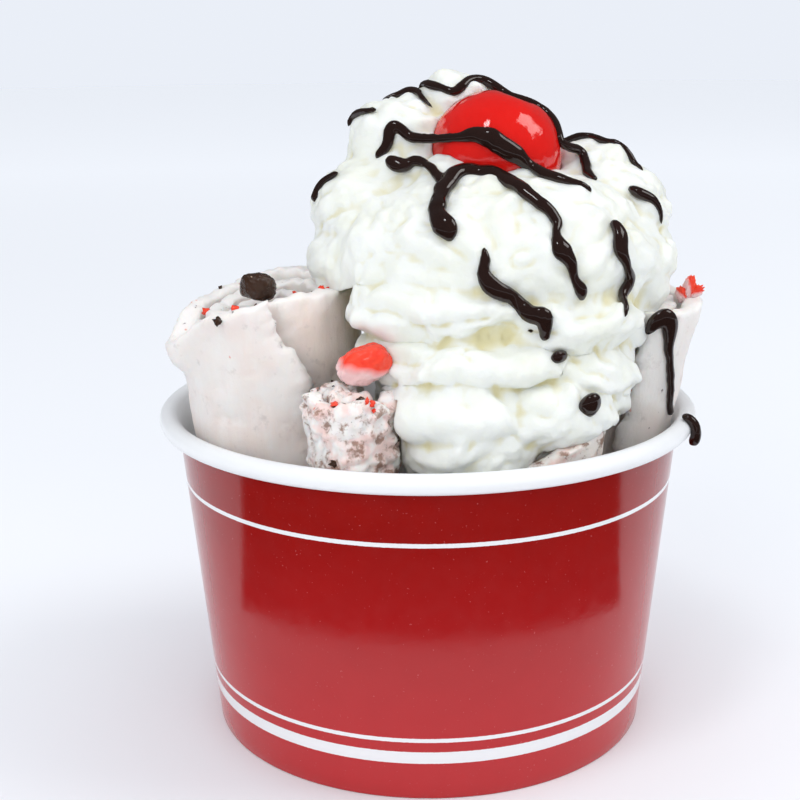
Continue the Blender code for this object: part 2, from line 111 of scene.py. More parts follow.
# Stage
FLOOR_RADIUS = 3000.0
FLOOR_SIDES = 96
FLOOR_COLOUR = (0.83, 0.85, 0.885)
SKY_COLOUR = (0.86, 0.88, 0.92)
SKY_SEEN = (0.825, 0.863, 0.935)
FLOOR_GLOW = (1.0, 1.05, 1.11)
GLOW_FROM = 200
GLOW_TO = 1100
GLOW = 0.172
SKY_IN_GLOSS = (0.12, 0.125, 0.13)
SKY_LOW = 0.55
SKY_HIGH = 1.2
FLAG_INNER = 86.0
FLAG_OUTER = 900.0
FLAG_LEVEL = 0.5
FLAG_FROM = 188
FLAG_TO = 356
FLAG_STEP = 4

# Lights: name, place and aim in metres, size, power, colour, and whether reflections show it
LIGHTS = [
    ("key", (0.75, -0.03, 0.86), (0.0, 0.0, 0.08), 0.5, 3.1, (1.0, 0.985, 0.96), True),
    ("top", (-0.14, -0.25, 0.72), (0.0, 0.0, 0.08), 0.11, 0.5, (0.97, 0.98, 1.0), True),
    ("fill", (-0.40, -0.62, 0.42), (0.0, 0.0, 0.06), 0.55, 1.85, (1.0, 0.99, 0.97), False),
    ("front", (0.34, -0.7, 0.26), (0.0, 0.0, 0.06), 0.5, 0.75, (1.0, 0.985, 0.95), False),
]


# Noise and mesh helpers


def unit(vectors):
    """Vectors made one long."""
    return vectors / np.linalg.norm(vectors, axis=1, keepdims=True)


class Noise:
    """Smooth gradient noise over arrays of points, from about -1 to 1."""

    def __init__(self, seed):
        random = np.random.default_rng(seed)
        self.table = random.permutation(256)
        self.slopes = unit(random.normal(size=(256, 3)))

    def __call__(self, points, size):
        scaled = np.asarray(points, float) / np.asarray(size, float)
        cell = np.floor(scaled).astype(int)
        inside = scaled - cell
        fade = inside ** 3 * (inside * (inside * 6 - 15) + 10)
        total = np.zeros(len(scaled))
        for corner in product((0, 1), repeat=3):
            at = (cell + corner) & 255
            code = self.table[(self.table[(self.table[at[:, 0]] + at[:, 1]) & 255] + at[:, 2]) & 255]
            weight = np.prod(np.where(corner, fade, 1 - fade), axis=1)
            total += weight * ((inside - corner) * self.slopes[code]).sum(axis=1)
        return total * 1.6


NOISE = Noise(11)
NOISE_B = Noise(23)
NOISE_C = Noise(37)


def smooth_step(value):
    """Ease from 0 to 1."""
    value = np.clip(value, 0, 1)
    return value * value * (3 - 2 * value)


def bearing(angle):
    """Level vectors, one long, at angles in degrees."""
    return np.stack([np.cos(np.radians(angle)), np.sin(np.radians(angle)), np.zeros_like(angle)], axis=-1)


def nearness(angle, middle, width, power=2):
    """1 at an angle round a circle, falling to 0 on both sides of it."""
    off = (angle - middle + 180) % 360 - 180
    return np.exp(-((off / width) ** power))


def ring_faces(rings, sides, closed=False):
    """Faces between rings of points, and from the last ring to the first where closed."""
    faces = []
    for ring in range(rings if closed else rings - 1):
        after = (ring + 1) % rings
        for side in range(sides):
            beside = (side + 1) % sides
            faces.append((ring * sides + side, ring * sides + beside,
                          after * sides + beside, after * sides + side))
    return faces


def link_object(name, data):
    """A new object in the scene."""
    obj = bpy.data.objects.new(name, data)
    bpy.context.scene.collection.objects.link(obj)
    return obj


def bmesh_object(name, bm):
    """A new object from a bmesh in metres."""
    mesh = bpy.data.meshes.new(name)
    bm.to_mesh(mesh)
    bm.free()
    return link_object(name, mesh)


def dress(obj, material):
    """Shade an object smooth, in one material."""
    obj.data.shade_smooth()
    obj.data.materials.clear()
    obj.data.materials.append(material)


def mesh_piece(name, points, faces, material):
    """A smooth mesh object from points in millimetres."""
    mesh = bpy.data.meshes.new(name)
    mesh.from_pydata((np.asarray(points) * MM).tolist(), [], faces)
    mesh.validate()
    obj = link_object(name, mesh)
    dress(obj, material)
    return obj


def add_attribute(obj, name, values):
    """Store one number a point, for the material to read."""
    layer = obj.data.attributes.new(name, "FLOAT", "POINT")
    layer.data.foreach_set("value", np.asarray(values, np.float32))


def points_of(mesh):
    """The points of a mesh, in millimetres."""
    points = np.empty(len(mesh.vertices) * 3, np.float32)
    mesh.vertices.foreach_get("co", points)
    return points.reshape(-1, 3).astype(float) / MM


def set_points(mesh, points):
    """Move the points of a mesh, given in millimetres."""
    mesh.vertices.foreach_set("co", (points * MM).astype(np.float32).ravel())
    mesh.update()


def normals_of(mesh):
    """The normals at the points of a mesh."""
    normals = np.empty(len(mesh.vertices) * 3, np.float32)
    mesh.vertex_normals.foreach_get("vector", normals)
    return normals.reshape(-1, 3).astype(float)


def edges_of(mesh):
    """The two points of each edge of a mesh, as two rows."""
    edges = np.empty(len(mesh.edges) * 2, np.int32)
    mesh.edges.foreach_get("vertices", edges)
    return edges.reshape(-1, 2).T


def smoothed(mesh, values, rounds):
    """Values at points averaged with their neighbours."""
    a, b = edges_of(mesh)
    count = np.bincount(a, minlength=len(values)) + np.bincount(b, minlength=len(values))
    values = values.reshape(len(values), -1)
    for _ in range(rounds):
        total = np.empty_like(values)
        for column in range(values.shape[1]):
            total[:, column] = np.bincount(a, values[b, column], len(values))
            total[:, column] += np.bincount(b, values[a, column], len(values))
        values = 0.5 * values + 0.5 * total / np.maximum(count, 1)[:, None]
    return values


def cavity_of(mesh, rounds, depth):
    """How far each point lies in a hollow, from 0 to 1."""
    points = points_of(mesh)
    sunk = ((smoothed(mesh, points, rounds) - points) * normals_of(mesh)).sum(axis=1)
    return np.clip(sunk / depth, -1, 1)


def apply_modifiers(obj):
    """Put the object's evaluated mesh in place of its own."""
    depsgraph = bpy.context.evaluated_depsgraph_get()
    mesh = bpy.data.meshes.new_from_object(obj.evaluated_get(depsgraph))
    obj.modifiers.clear()
    obj.data = mesh
    return obj


def remesh(obj, voxel):
    """Run an object's overlapping bodies together."""
    modifier = obj.modifiers.new("run_together", "REMESH")
    modifier.mode = "VOXEL"
    modifier.voxel_size = voxel * MM
    return apply_modifiers(obj)


def cut(obj, tools):
    """Cut an object by closed meshes, which are then removed."""
    for tool in tools:
        modifier = obj.modifiers.new("cut", "BOOLEAN")
        modifier.operation = "DIFFERENCE"
        modifier.solver = "MANIFOLD"
        modifier.object = tool
        apply_modifiers(obj)
    for tool in tools:
        bpy.data.objects.remove(tool, do_unlink=True)


def keep_largest_body(obj):
    """Drop the loose scraps that a cut leaves."""
    mesh = obj.data
    a, b = edges_of(mesh)
    label = np.arange(len(mesh.vertices))
    while True:
        low = np.minimum(label[a], label[b])
        fresh = label.copy()
        np.minimum.at(fresh, a, low)
        np.minimum.at(fresh, b, low)
        fresh = fresh[fresh]
        if (fresh == label).all():
            break
        label = fresh
    body = np.bincount(label).argmax()
    bm = bmesh.new()
    bm.from_mesh(mesh)
    bm.verts.ensure_lookup_table()
    scraps = [bm.verts[index] for index in np.flatnonzero(label != body)]
    bmesh.ops.delete(bm, geom=scraps, context="VERTS")
    bm.to_mesh(mesh)
    bm.free()


def settle(piece, node):
    """Let a piece ride on the sundae in place of a solid."""
    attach(piece, "root")
    if node:
        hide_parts(node)
    return piece


# Material helpers


class Paint:
    """A Principled material and short ways to add nodes to it."""

    def __init__(self, name, **values):
        self.material = bpy.data.materials.new(name)
        self.material.use_nodes = True
        self.tree = self.material.node_tree
        self.shader = self.tree.nodes["Principled BSDF"]
        self.place = self.tree.nodes.new("ShaderNodeTexCoord").outputs["Object"]
        for key, value in values.items():
            self.shader.inputs[key.replace("_", " ")].default_value = value

    def node(self, kind, settings=(), **inputs):
        """A node with settings and inputs, where an input is a value or another node's output."""
        node = self.tree.nodes.new(kind)
        for key, value in dict(settings).items():
            setattr(node, key, value)
        for key, value in inputs.items():
            self.feed(node.inputs[key.replace("_", " ")], value)
        return node

    def feed(self, socket, value):
        if isinstance(value, bpy.types.NodeSocket):
            self.tree.links.new(value, socket)
        else:
            socket.default_value = value

    def noise(self, size, detail=3.0, roughness=0.55, stretch=None, distortion=0.0):
        """Noise from 0 to 1 whose lumps are about size millimetres across."""
        vector = self.place
        if stretch:
            mapping = self.node("ShaderNodeMapping", Vector=vector)
            mapping.inputs["Scale"].default_value = stretch
            vector = mapping.outputs["Vector"]
        node = self.node("ShaderNodeTexNoise", Vector=vector, Scale=1000.0 / size, Detail=detail,
                         Roughness=roughness, Distortion=distortion)
        return node.outputs["Fac"]

    def band(self, value, low, high, top=1.0, bottom=0.0):
        """Map a value's range from low to high to the range from bottom to top."""
        node = self.node("ShaderNodeMapRange", [("clamp", True)], Value=value)
        node.inputs["From Min"].default_value = low
        node.inputs["From Max"].default_value = high
        node.inputs["To Min"].default_value = bottom
        node.inputs["To Max"].default_value = top
        return node.outputs["Result"]

    def maths(self, operation, first, second=0.0):
        node = self.node("ShaderNodeMath", [("operation", operation)])
        self.feed(node.inputs[0], first)
        self.feed(node.inputs[1], second)
        return node.outputs[0]

    def mix(self, share, first, second):
        """Mix two colours."""
        node = self.node("ShaderNodeMix", [("data_type", "RGBA")])
        self.feed(node.inputs[0], share)
        self.feed(node.inputs[6], (*first, 1.0) if isinstance(first, tuple) else first)
        self.feed(node.inputs[7], (*second, 1.0) if isinstance(second, tuple) else second)
        return node.outputs[2]

    def attribute(self, name):
        """A number stored at the mesh's points."""
        return self.node("ShaderNodeAttribute", [("attribute_name", name)]).outputs["Fac"]

    def height(self):
        """Height over the foot, in metres."""
        return self.node("ShaderNodeSeparateXYZ", Vector=self.place).outputs["Z"]

    def bump(self, value, depth, normal=None):
        """Relief of a depth in millimetres."""
        node = self.node("ShaderNodeBump", Height=value, Strength=1.0, Distance=depth * MM)
        if normal:
            self.feed(node.inputs["Normal"], normal)
        return node.outputs["Normal"]

    def use(self, key, value):
        self.feed(self.shader.inputs[key], value)


def printed_paper():
    """Glossy red print with plain white stripes and fine pale specks, its red darker towards the top as
    painted shade under the rim and lighter towards the bottom as painted light from the floor.
    """
    paint = Paint("printed_paper", Roughness=0.2)
    # Painted light and shade: the lower red is lighter as painted light from the floor, and the upper red is
    # darker as painted shade under the rim.
    low = paint.mix(paint.noise(6.0, 4.0), (0.43, 0.011, 0.014), (0.47, 0.014, 0.018))
    high = paint.mix(paint.noise(6.0, 4.0), (0.25, 0.004, 0.003), (0.29, 0.006, 0.004))
    red_with_painted_shade = paint.mix(paint.band(paint.height(), 10 * MM, 50 * MM), low, high)
    specks = paint.band(paint.noise(0.5, 2.0), 0.70, 0.76, 0.45)
    red_with_painted_shade = paint.mix(specks, red_with_painted_shade, (0.60, 0.16, 0.17))
    edge = paint.maths("MULTIPLY", paint.noise(0.6, 2.0), 0.00012)
    height = paint.maths("ADD", paint.height(), edge)
    white = 0.0
    for level, width in STRIPES:
        away = paint.maths("ABSOLUTE", paint.maths("SUBTRACT", height, level * MM + 0.00006))
        stripe = paint.band(away, width * MM / 2, width * MM / 2 + 0.00006, 0.0, 1.0)
        white = paint.maths("MAXIMUM", white, stripe)
    paint.use("Base Color", paint.mix(white, red_with_painted_shade, (0.80, 0.81, 0.83)))
    relief = paint.bump(paint.noise(0.9, 3.0), 0.010)
    paint.use("Normal", paint.bump(paint.noise(9.0, 2.0), 0.05, relief))
    paint.use("Roughness", paint.band(paint.noise(2.5, 4.0), 0.3, 0.7, 0.18, 0.10))
    return paint.material


def white_paper():
    """Smooth coated white paper with a faint fibre."""
    paint = Paint("white_paper", Roughness=0.38, Coat_Weight=0.15, Coat_Roughness=0.2)
    paint.use("Base Color", paint.mix(paint.noise(3.0, 4.0), (0.79, 0.81, 0.83), (0.83, 0.84, 0.855)))
    paint.use("Normal", paint.bump(paint.noise(0.8, 4.0), 0.018))
    return paint.material


def ice_cream_paint():
    """Pale ice cream with soft grey cookie specks, pink patches, and painted warm shade in its hollows."""
    paint = Paint("ice_cream", Roughness=0.45, Subsurface_Weight=0.22, Subsurface_Scale=0.001)
    paint.use("Subsurface Radius", (3.2, 1.7, 1.1))
    soft = paint.band(paint.noise(11.0, 3.0), 0.45, 0.62)
    colour = paint.mix(soft, (0.75, 0.715, 0.685), (0.76, 0.68, 0.64))
    streak = paint.band(paint.noise(4.0, 5.0, 0.6, (1.0, 1.0, 0.25)), 0.45, 0.7, 0.5)
    colour = paint.mix(streak, colour, (0.80, 0.785, 0.765))
    # Painted warm shade: tinted tan where the hollow attribute marks the inner turns, the roll under the
    # cream and the strip behind a torn end.
    colour = paint.mix(paint.band(paint.attribute("hollow"), 0.0, 1.0, 0.85), colour, (0.84, 0.71, 0.62))
    torn = paint.attribute("torn")
    colour = paint.mix(paint.band(torn, 0.2, 1.0, 0.6), colour, (0.85, 0.835, 0.82))
    smudge = paint.band(paint.noise(2.6, 4.0, 0.6), 0.60, 0.76, 0.42)
    colour = paint.mix(smudge, colour, (0.40, 0.36, 0.35))
    level = paint.maths("ADD", paint.noise(1.3, 2.0, 0.5), paint.maths("MULTIPLY", torn, 0.05))
    colour = paint.mix(paint.band(level, 0.77, 0.83, 0.8), colour, (0.09, 0.06, 0.055))
    level = paint.noise(2.4, 2.0, 0.5, (1.0, 1.1, 0.9))
    level = paint.maths("ADD", level, paint.maths("MULTIPLY", torn, 0.05))
    colour = paint.mix(paint.band(level, 0.775, 0.81, 0.9), colour, (0.72, 0.16, 0.08))
    crumbly = paint.attribute("crumbly")
    stain = paint.maths("MULTIPLY", crumbly, paint.band(paint.noise(4.0, 3.0), 0.48, 0.60, 0.55))
    colour = paint.mix(stain, colour, (0.82, 0.50, 0.45))
    stain = paint.maths("MULTIPLY", crumbly, paint.band(paint.noise(2.8, 4.0, 0.65), 0.51, 0.61, 0.85))
    colour = paint.mix(stain, colour, (0.25, 0.13, 0.085))
    paint.use("Base Color", colour)
    relief = paint.bump(paint.noise(1.1, 5.0, 0.6), 0.12)
    paint.use("Normal", paint.bump(paint.noise(2.6, 3.0, 0.6, (1.0, 1.0, 0.2)), 0.2, relief))
    return paint.material


def cream_paint():
    """White foam with painted pale yellow shade in its creases."""
    paint = Paint("whipped_cream", Roughness=0.45, Subsurface_Weight=0.35, Subsurface_Scale=0.001)
    paint.use("Subsurface Radius", (3.0, 2.7, 1.9))
    # Painted shade: the creases that the cavity attribute finds are tinted pale yellow.
    painted_crease_shade = paint.band(paint.attribute("cavity"), 0.15, 0.9)
    colour = paint.mix(paint.band(paint.noise(9.0, 3.0), 0.42, 0.68), (0.79, 0.81, 0.775), (0.75, 0.77, 0.70))
    paint.use("Base Color", paint.mix(painted_crease_shade, colour, (0.72, 0.67, 0.41)))
    relief = paint.bump(paint.noise(0.9, 4.0, 0.6), 0.05)
    paint.use("Normal", paint.bump(paint.noise(3.0, 4.0, 0.6), 0.22, relief))
    return paint.material


def fudge_paint():
    """Dark glossy fudge."""
    paint = Paint("fudge", Roughness=0.08)
    paint.use("Base Color", paint.mix(paint.noise(4.0, 3.0), (0.011, 0.0045, 0.0035), (0.020, 0.008, 0.006)))
    paint.use("Normal", paint.bump(paint.noise(2.6, 2.0), 0.05))
    return paint.material


def cherry_paint():
    """Wet candied cherry skin, a little see-through."""
    paint = Paint("cherry", Roughness=0.09, Subsurface_Weight=0.2, Subsurface_Scale=0.001,
                  Coat_Weight=0.25, Coat_Roughness=0.04)
    paint.use("Subsurface Radius", (4.5, 0.4, 0.25))
    paint.use("Base Color", paint.mix(paint.noise(6.0, 4.0), (0.58, 0.006, 0.004), (0.72, 0.012, 0.008)))
    relief = paint.bump(paint.noise(1.4, 3.0), 0.05)
    paint.use("Normal", paint.bump(paint.noise(5.0, 2.0), 0.3, relief))
    return paint.material


def strawberry_paint():
    """Cut strawberry: red outside and pale pink towards the core."""
    paint = Paint("strawberry", Roughness=0.25, Subsurface_Weight=0.2, Subsurface_Scale=0.001,
                  Coat_Weight=0.2, Coat_Roughness=0.1)
    paint.use("Subsurface Radius", (3.5, 1.2, 0.8))
    pale = paint.band(paint.attribute("pale"), 0.35, 0.65)
    colour = paint.mix(paint.noise(1.6, 4.0), (0.84, 0.022, 0.010), (0.90, 0.09, 0.04))
    paint.use("Base Color", paint.mix(pale, colour, (0.82, 0.56, 0.56)))
    paint.use("Normal", paint.bump(paint.noise(1.2, 4.0), 0.25))
    return paint.material


def cookie_paint():
    """Dark, moist cookie with pale crumbs of ice cream in its pores."""
    paint = Paint("cookie", Roughness=0.17)
    pale = paint.band(paint.noise(0.9, 3.0), 0.70, 0.74)
    colour = paint.mix(paint.noise(1.5, 4.0), (0.020, 0.009, 0.005), (0.06, 0.026, 0.014))
    paint.use("Base Color", paint.mix(pale, colour, (0.50, 0.36, 0.27)))
    paint.use("Normal", paint.bump(paint.noise(0.9, 5.0), 0.25))
    return paint.material


# Cup


def wall_radius(z):
    """Outer radius of the cup's conical wall at a height."""
    top = CUP_RIM_RADIUS - 2 * RIM_BEAD + 0.4
    return CUP_FOOT_RADIUS + (top - CUP_FOOT_RADIUS) * z / CUP_HEIGHT


def cup_section():
    """Closed section of the wall, and how many of its first points are printed."""
    bead_x = CUP_RIM_RADIUS - RIM_BEAD
    bead_z = CUP_HEIGHT - RIM_BEAD
    fold = 0.28
    outside = []
    for z in np.linspace(bead_z - 0.9, fold, 28):
        outside.append((wall_radius(z), z))
    for step in range(1, 5):
        angle = math.radians(90 * step / 4)
        outside.append((wall_radius(0) - fold + fold * math.cos(angle), fold - fold * math.sin(angle)))
    hem_outer = wall_radius(0) - HEM_INSET
    hem_inner = hem_outer - CUP_PAPER
    white = [(hem_inner + 0.2, 0.0), (hem_inner, 0.2), (hem_inner, HEM_HEIGHT), (hem_outer, HEM_HEIGHT)]
    white += [(hem_outer, CUP_PAPER), (wall_radius(0) - CUP_PAPER, CUP_PAPER)]
    for z in np.linspace(8.0, bead_z, 12):
        white.append((wall_radius(z) - CUP_PAPER, z))
    for step in range(1, 21):
        angle = math.radians(180 - 13.2 * step)
        white.append((bead_x + RIM_BEAD * math.cos(angle), bead_z + RIM_BEAD * math.sin(angle)))
    return outside + white, len(outside)


def make_cup(print_material, paper_material):
    """The cup's wall, rolled rim and hem, with the lap of its side seam at the back."""
    section, printed = cup_section()
    count = len(section)
    angles = np.radians(SEAM_ANGLE + 360 * np.arange(CUP_SEGMENTS) / CUP_SEGMENTS)
    radii = np.array([point[0] for point in section])
    heights = np.array([point[1] for point in section])
    points = []
    for index, angle in enumerate(angles):
        behind = 360 * index / CUP_SEGMENTS * math.radians(1) * CUP_RIM_RADIUS
        lap = SEAM_STEP * float(behind < SEAM_LAP) * (0.35 + 0.65 * smooth_step(1 - behind / SEAM_LAP))
        lap *= smooth_step(behind / 0.35)
        outward = np.where(np.arange(count) < printed, lap, 0.0)
        bead = np.array([[math.cos(angle) * 40, math.sin(angle) * 40, 0.0]])
        wobble = 0.10 * NOISE(bead, 14.0)[0]
        reach = radii + outward + wobble * (heights / CUP_HEIGHT) ** 2
        points.append(np.stack([reach * math.cos(angle), reach * math.sin(angle), heights], axis=1))
    faces = ring_faces(CUP_SEGMENTS, count, closed=True)
    cup = mesh_piece("cup_wall", np.concatenate(points), faces, print_material)
    cup.data.materials.append(paper_material)
    slots = np.tile(np.arange(count) >= printed - 1, CUP_SEGMENTS).astype(np.int32)
    slots[np.tile(np.arange(count) == count - 1, CUP_SEGMENTS)] = 1
    cup.data.polygons.foreach_set("material_index", slots)
    cup.data.set_sharp_from_angle(angle=math.radians(50))
    return settle(cup, "cup")


# Rolls of ice cream


class Roll:
    """One sheet of ice cream rolled up and stood on end in the cup."""

    def __init__(self, name, place, radius, top, fall=(0, 0), start=0, turn=1, **extra):
        self.name = name
        self.place = place
        self.radius = radius
        self.top = top
        self.fall = fall
        self.start = start
        self.turn = turn
        self.lean = extra.get("lean", (0, 0))
        self.flare = extra.get("flare", 0.0)
        self.lip = extra.get("lip")
        self.dip = extra.get("dip")
        self.cap = extra.get("cap", 120.0)
        self.hollow = extra.get("hollow", 2.0)
        self.ragged = extra.get("ragged", 0.7)
        self.crumbly = extra.get("crumbly", 0.0)
        self.tear = extra.get("tear", 0.0)
        # How much painted warm shade the inner turns get, and the least painted warm shade over the whole
        # roll.
        self.inner_painted_shade = extra.get("inner_painted_shade", 0.25)
        self.tan = extra.get("tan", 0.0)
        self.fine = extra.get("fine", 0.75)

    def place_points(self, radius, angle, height):
        """Where points of the roll stand: it spreads with the cup's taper and leans out above it."""
        spread = FOOT_INNER_RADIUS + (RIM_INNER_RADIUS - FOOT_INNER_RADIUS) * height / RIM_LEVEL
        spread = spread / RIM_INNER_RADIUS
        above = np.maximum(0.0, height - RIM_LEVEL) / 25
        radius = radius * (1 + self.flare * above * above)
        if self.lip:
            lip = self.lip
            outer = self.outer_turn(radius)
            rise = smooth_step((height - RIM_LEVEL - LIP_FROM) / LIP_RISE)
            radius = radius + lip["reach"] * nearness(angle, lip["angle"], lip["width"]) * outer * rise
            curl = nearness(angle, lip["angle"], lip["curl_width"], 4)
            curl = curl * np.exp(-(((height - lip["curl_level"]) / lip["curl_height"]) ** 4))
            radius = radius + lip["curl"] * curl * outer
        x = (self.place[0] + radius * np.cos(np.radians(angle))) * spread + self.lean[0] * above
        y = (self.place[1] + radius * np.sin(np.radians(angle))) * spread + self.lean[1] * above
        return np.stack([x, y, height], axis=-1)

    def outer_turn(self, radius, start=0.7, blend=0.2):
        """0 on the inner turns and 1 on the outer one, which starts at a share of the roll's radius."""
        return smooth_step((radius / self.radius - start) / blend)

    def top_height(self, radius, angle):
        """Height of the roll's upper end."""
        x = radius * np.cos(np.radians(angle))
        y = radius * np.sin(np.radians(angle))
        top = np.minimum(self.cap, self.top + self.fall[0] * x + self.fall[1] * y)
        top = top - self.hollow * (1 - radius / self.radius)
        if self.dip:
            near = nearness(angle, self.dip["angle"], self.dip["width"])
            top = top - self.dip["depth"] * near * self.outer_turn(radius, 0.74, 0.1)
        return top


def roll_section(roll):
    """Height share, side and crown of the points round the sheet's section: up, over the top and down."""
    visible = np.arange(DEEP, roll.top + 0.01, roll.fine)
    rise = np.concatenate([np.linspace(0, 0.999, 6)[:-1] * (DEEP - ROLL_FOOT) + ROLL_FOOT, visible])
    rise = (rise - ROLL_FOOT) / (rise[-1] - ROLL_FOOT)
    arc = np.radians(np.linspace(0, 180, 8)[1:-1])
    level = np.concatenate([rise, np.ones(len(arc)), rise[::-1]])
    side = np.concatenate([np.full(len(rise), 0.5), 0.5 * np.cos(arc), np.full(len(rise), -0.5)])
    crown = np.concatenate([np.zeros(len(rise)), np.sin(arc), np.zeros(len(rise))])
    return level, side, crown


def torn_end(roll, height, turns, length):
    """Where the sheet's torn outer end lies at each height, as a share of its length."""
    trimmed = roll.tear / 360 / turns * np.clip((height - RIM_LEVEL) / TEAR_RISE, 0, 1)
    marks = np.stack([height, np.zeros_like(height), np.full_like(height, roll.top)], axis=-1).reshape(-1, 3)
    ragged = (NOISE(marks, 4.0) * 0.9 + NOISE_B(marks, 1.4) * 0.35).reshape(height.shape) / length
    return trimmed + ragged * (height > RIM_LEVEL - 6)


def torn_top(roll, radius, angle):
    """Height of the roll's upper end with its torn edge."""
    flat = (bearing(angle) * radius[..., None] + (0.0, 0.0, roll.top)).reshape(-1, 3)
    rough = roll.ragged * NOISE(flat, 3.5) + 0.5 * NOISE_B(flat, 1.6) + 0.35 * np.abs(NOISE_C(flat, 0.9))
    return roll.top_height(radius, angle) + rough.reshape(radius.shape)


def scrape(roll, points, outward, torn, shown):
    """Give a roll's points their scrape marks, pits and crumbly edges, where they are shown."""
    streaks = NOISE(points * (1.0, 1.0, 0.12), 1.7) * 0.13 + NOISE_B(points, 7.0) * 0.45
    pits = -np.maximum(0, NOISE_C(points, 3.0) - 0.35) * 0.8
    crumble = (np.abs(NOISE(points, 2.6)) * 1.3 - 0.35 + NOISE_B(points, 1.1) * 0.3) * torn
    points += outward * ((streaks + pits + crumble * (0.55 + 0.9 * roll.crumbly)) * shown)[:, None]
    points[:, 2] += NOISE_C(points, 1.8) * 0.35 * torn * shown


def sheet_faces(columns, rows, turn):
    """Faces round the sheet and over its two ends."""
    faces = ring_faces(columns, rows)
    last = (columns - 1) * rows
    for row in range(rows // 2 - 1):
        across = rows - 1 - row
        faces.append((row, across, across - 1, row + 1))
        faces.append((last + row, last + row + 1, last + across - 1, last + across))
    if turn < 0:
        faces = [face[::-1] for face in faces]
    return faces


def make_roll(roll, material):
    """The rolled sheet with its torn ends, scraped faces and crumbly upper edge."""
    outer = roll.radius - SHEET / 2
    turns = (outer - ROLL_CORE) / SHEET_PITCH
    length = math.pi * turns * (outer + ROLL_CORE)
    columns = round(length / roll.fine)
    section = roll_section(roll)
    rows = len(section[0])
    level, side, crown = (np.ones(columns)[:, None] * part for part in section)
    share = np.linspace(0, 1, columns)[:, None] * np.ones(rows)
    trimmed = torn_end(roll, ROLL_FOOT + (roll.top - ROLL_FOOT) * level, turns, length)
    share = trimmed + (1 - trimmed) * share
    radius = outer - SHEET_PITCH * turns * share
    angle = roll.start + roll.turn * 360 * turns * share
    top = torn_top(roll, radius, angle)
    height = ROLL_FOOT + (top - ROLL_FOOT) * level + crown * SHEET * 0.22
    if roll.lip:
        rim = nearness(angle, roll.lip["rim_angle"], roll.lip["rim_width"])
        rim = rim * np.exp(-(((top - height) / roll.lip["rim_height"]) ** 2))
        radius = radius + roll.lip["rim_reach"] * rim * roll.outer_turn(radius)
    near_end = np.minimum(share - trimmed, 1 - share) * length
    thick = SHEET * (0.25 + 0.75 * np.sqrt(np.clip(near_end / 1.5, 0, 1)))
    points = roll.place_points(radius + side * thick, angle, height).reshape(-1, 3)

    outward = bearing(angle).reshape(-1, 3) * np.sign(side).reshape(-1, 1)
    edge = np.exp(-np.maximum(0, (top - height).ravel()) / 2.2)
    tear = np.exp(-np.maximum(0, near_end).ravel() / 2.5) * (height.ravel() > RIM_LEVEL - 8)
    torn = np.clip(np.maximum(edge, tear) + roll.crumbly, 0, 1)
    scrape(roll, points, outward, torn, smooth_step((height.ravel() - DEEP) / 8))
    piece = mesh_piece(roll.name + "_sheet", points, sheet_faces(columns, rows, roll.turn), material)
    piece.data.update()

    # Painted warm shade, stored as the hollow attribute: it covers the inner turns, grows deeper below the
    # top, keeps at least the roll's set share everywhere, and fills a strip just behind the torn end.
    inward = smooth_step((share * turns - 1.0) / 0.6).ravel()
    hollow = inward * np.clip(roll.inner_painted_shade + 0.35 * np.clip((top - height).ravel() / 9, 0, 1), 0, 1)
    hollow = np.maximum(hollow, roll.tan)
    if roll.tear:
        behind_tear = (share - trimmed) * turns - TEAR_SHADE_FROM
        hollow = np.maximum(hollow, 0.7 * np.exp(-((behind_tear / TEAR_SHADE_WIDTH) ** 2)).ravel())
    add_attribute(piece, "torn", torn)
    add_attribute(piece, "hollow", hollow)
    add_attribute(piece, "crumbly", np.full(len(torn), float(roll.crumbly > 0.5)))
    return settle(piece, roll.name)


def ice_cream_rolls():
    """The seven rolls, front left first and then round by the right."""
    lip = {"angle": 205, "width": 30, "reach": 1.0, "curl": 1.7, "curl_width": 13, "curl_level": 74.8,
           "curl_height": 3.0, "rim_angle": 222, "rim_width": 34, "rim_height": 2.2, "rim_reach": 1.1}
    dip = {"angle": 205, "width": 18, "depth": 4.3}
    return [
        Roll("ice_cream_roll_left", (-25.6, -13.5), 17.4, 86.0, (0.33, 0.05), -46, -1,
             lean=(0.3, 0), lip=lip, dip=dip, cap=86.6, hollow=5.5, ragged=0.35, tear=41, inner_painted_shade=0.1, fine=0.6),
        Roll("ice_cream_roll_front_left", (-13.0, -35.4), 8.6, 71.0, (-0.05, 0.1), 20, -1,
             hollow=1.0, ragged=1.1, crumbly=0.8, fine=0.45),
        # The front right roll gets painted warm shade all over.
        Roll("ice_cream_roll_front_right", (20.0, -27.6), 11.4, 60.5, (0.42, 0.1), 200, 1, cap=65.0,
             hollow=1.0, crumbly=0.6, inner_painted_shade=0.7, tan=0.95),
        Roll("ice_cream_roll_right", (33.3, -4.7), 12.6, 81.5, (-0.08, 0.13), -85, 1,
             lean=(2.7, -0.4), flare=0.04, cap=82.0, hollow=2.5, ragged=0.5, inner_painted_shade=0.75),
        Roll("ice_cream_roll_back_right", (24.8, 22.2), 12.0, 80.5, (0, -0.1), 10, 1, lean=(1.2, 1.6)),
        Roll("ice_cream_roll_back", (1.2, 33.0), 12.3, 79.5, (-0.05, -0.08), 300, -1, lean=(0, 2.2)),
        Roll("ice_cream_roll_back_left", (-23.6, 19.8), 14.4, 81.0, (0.15, -0.06), 60, 1,
             lean=(-0.6, 1.4), hollow=3.0),
    ]


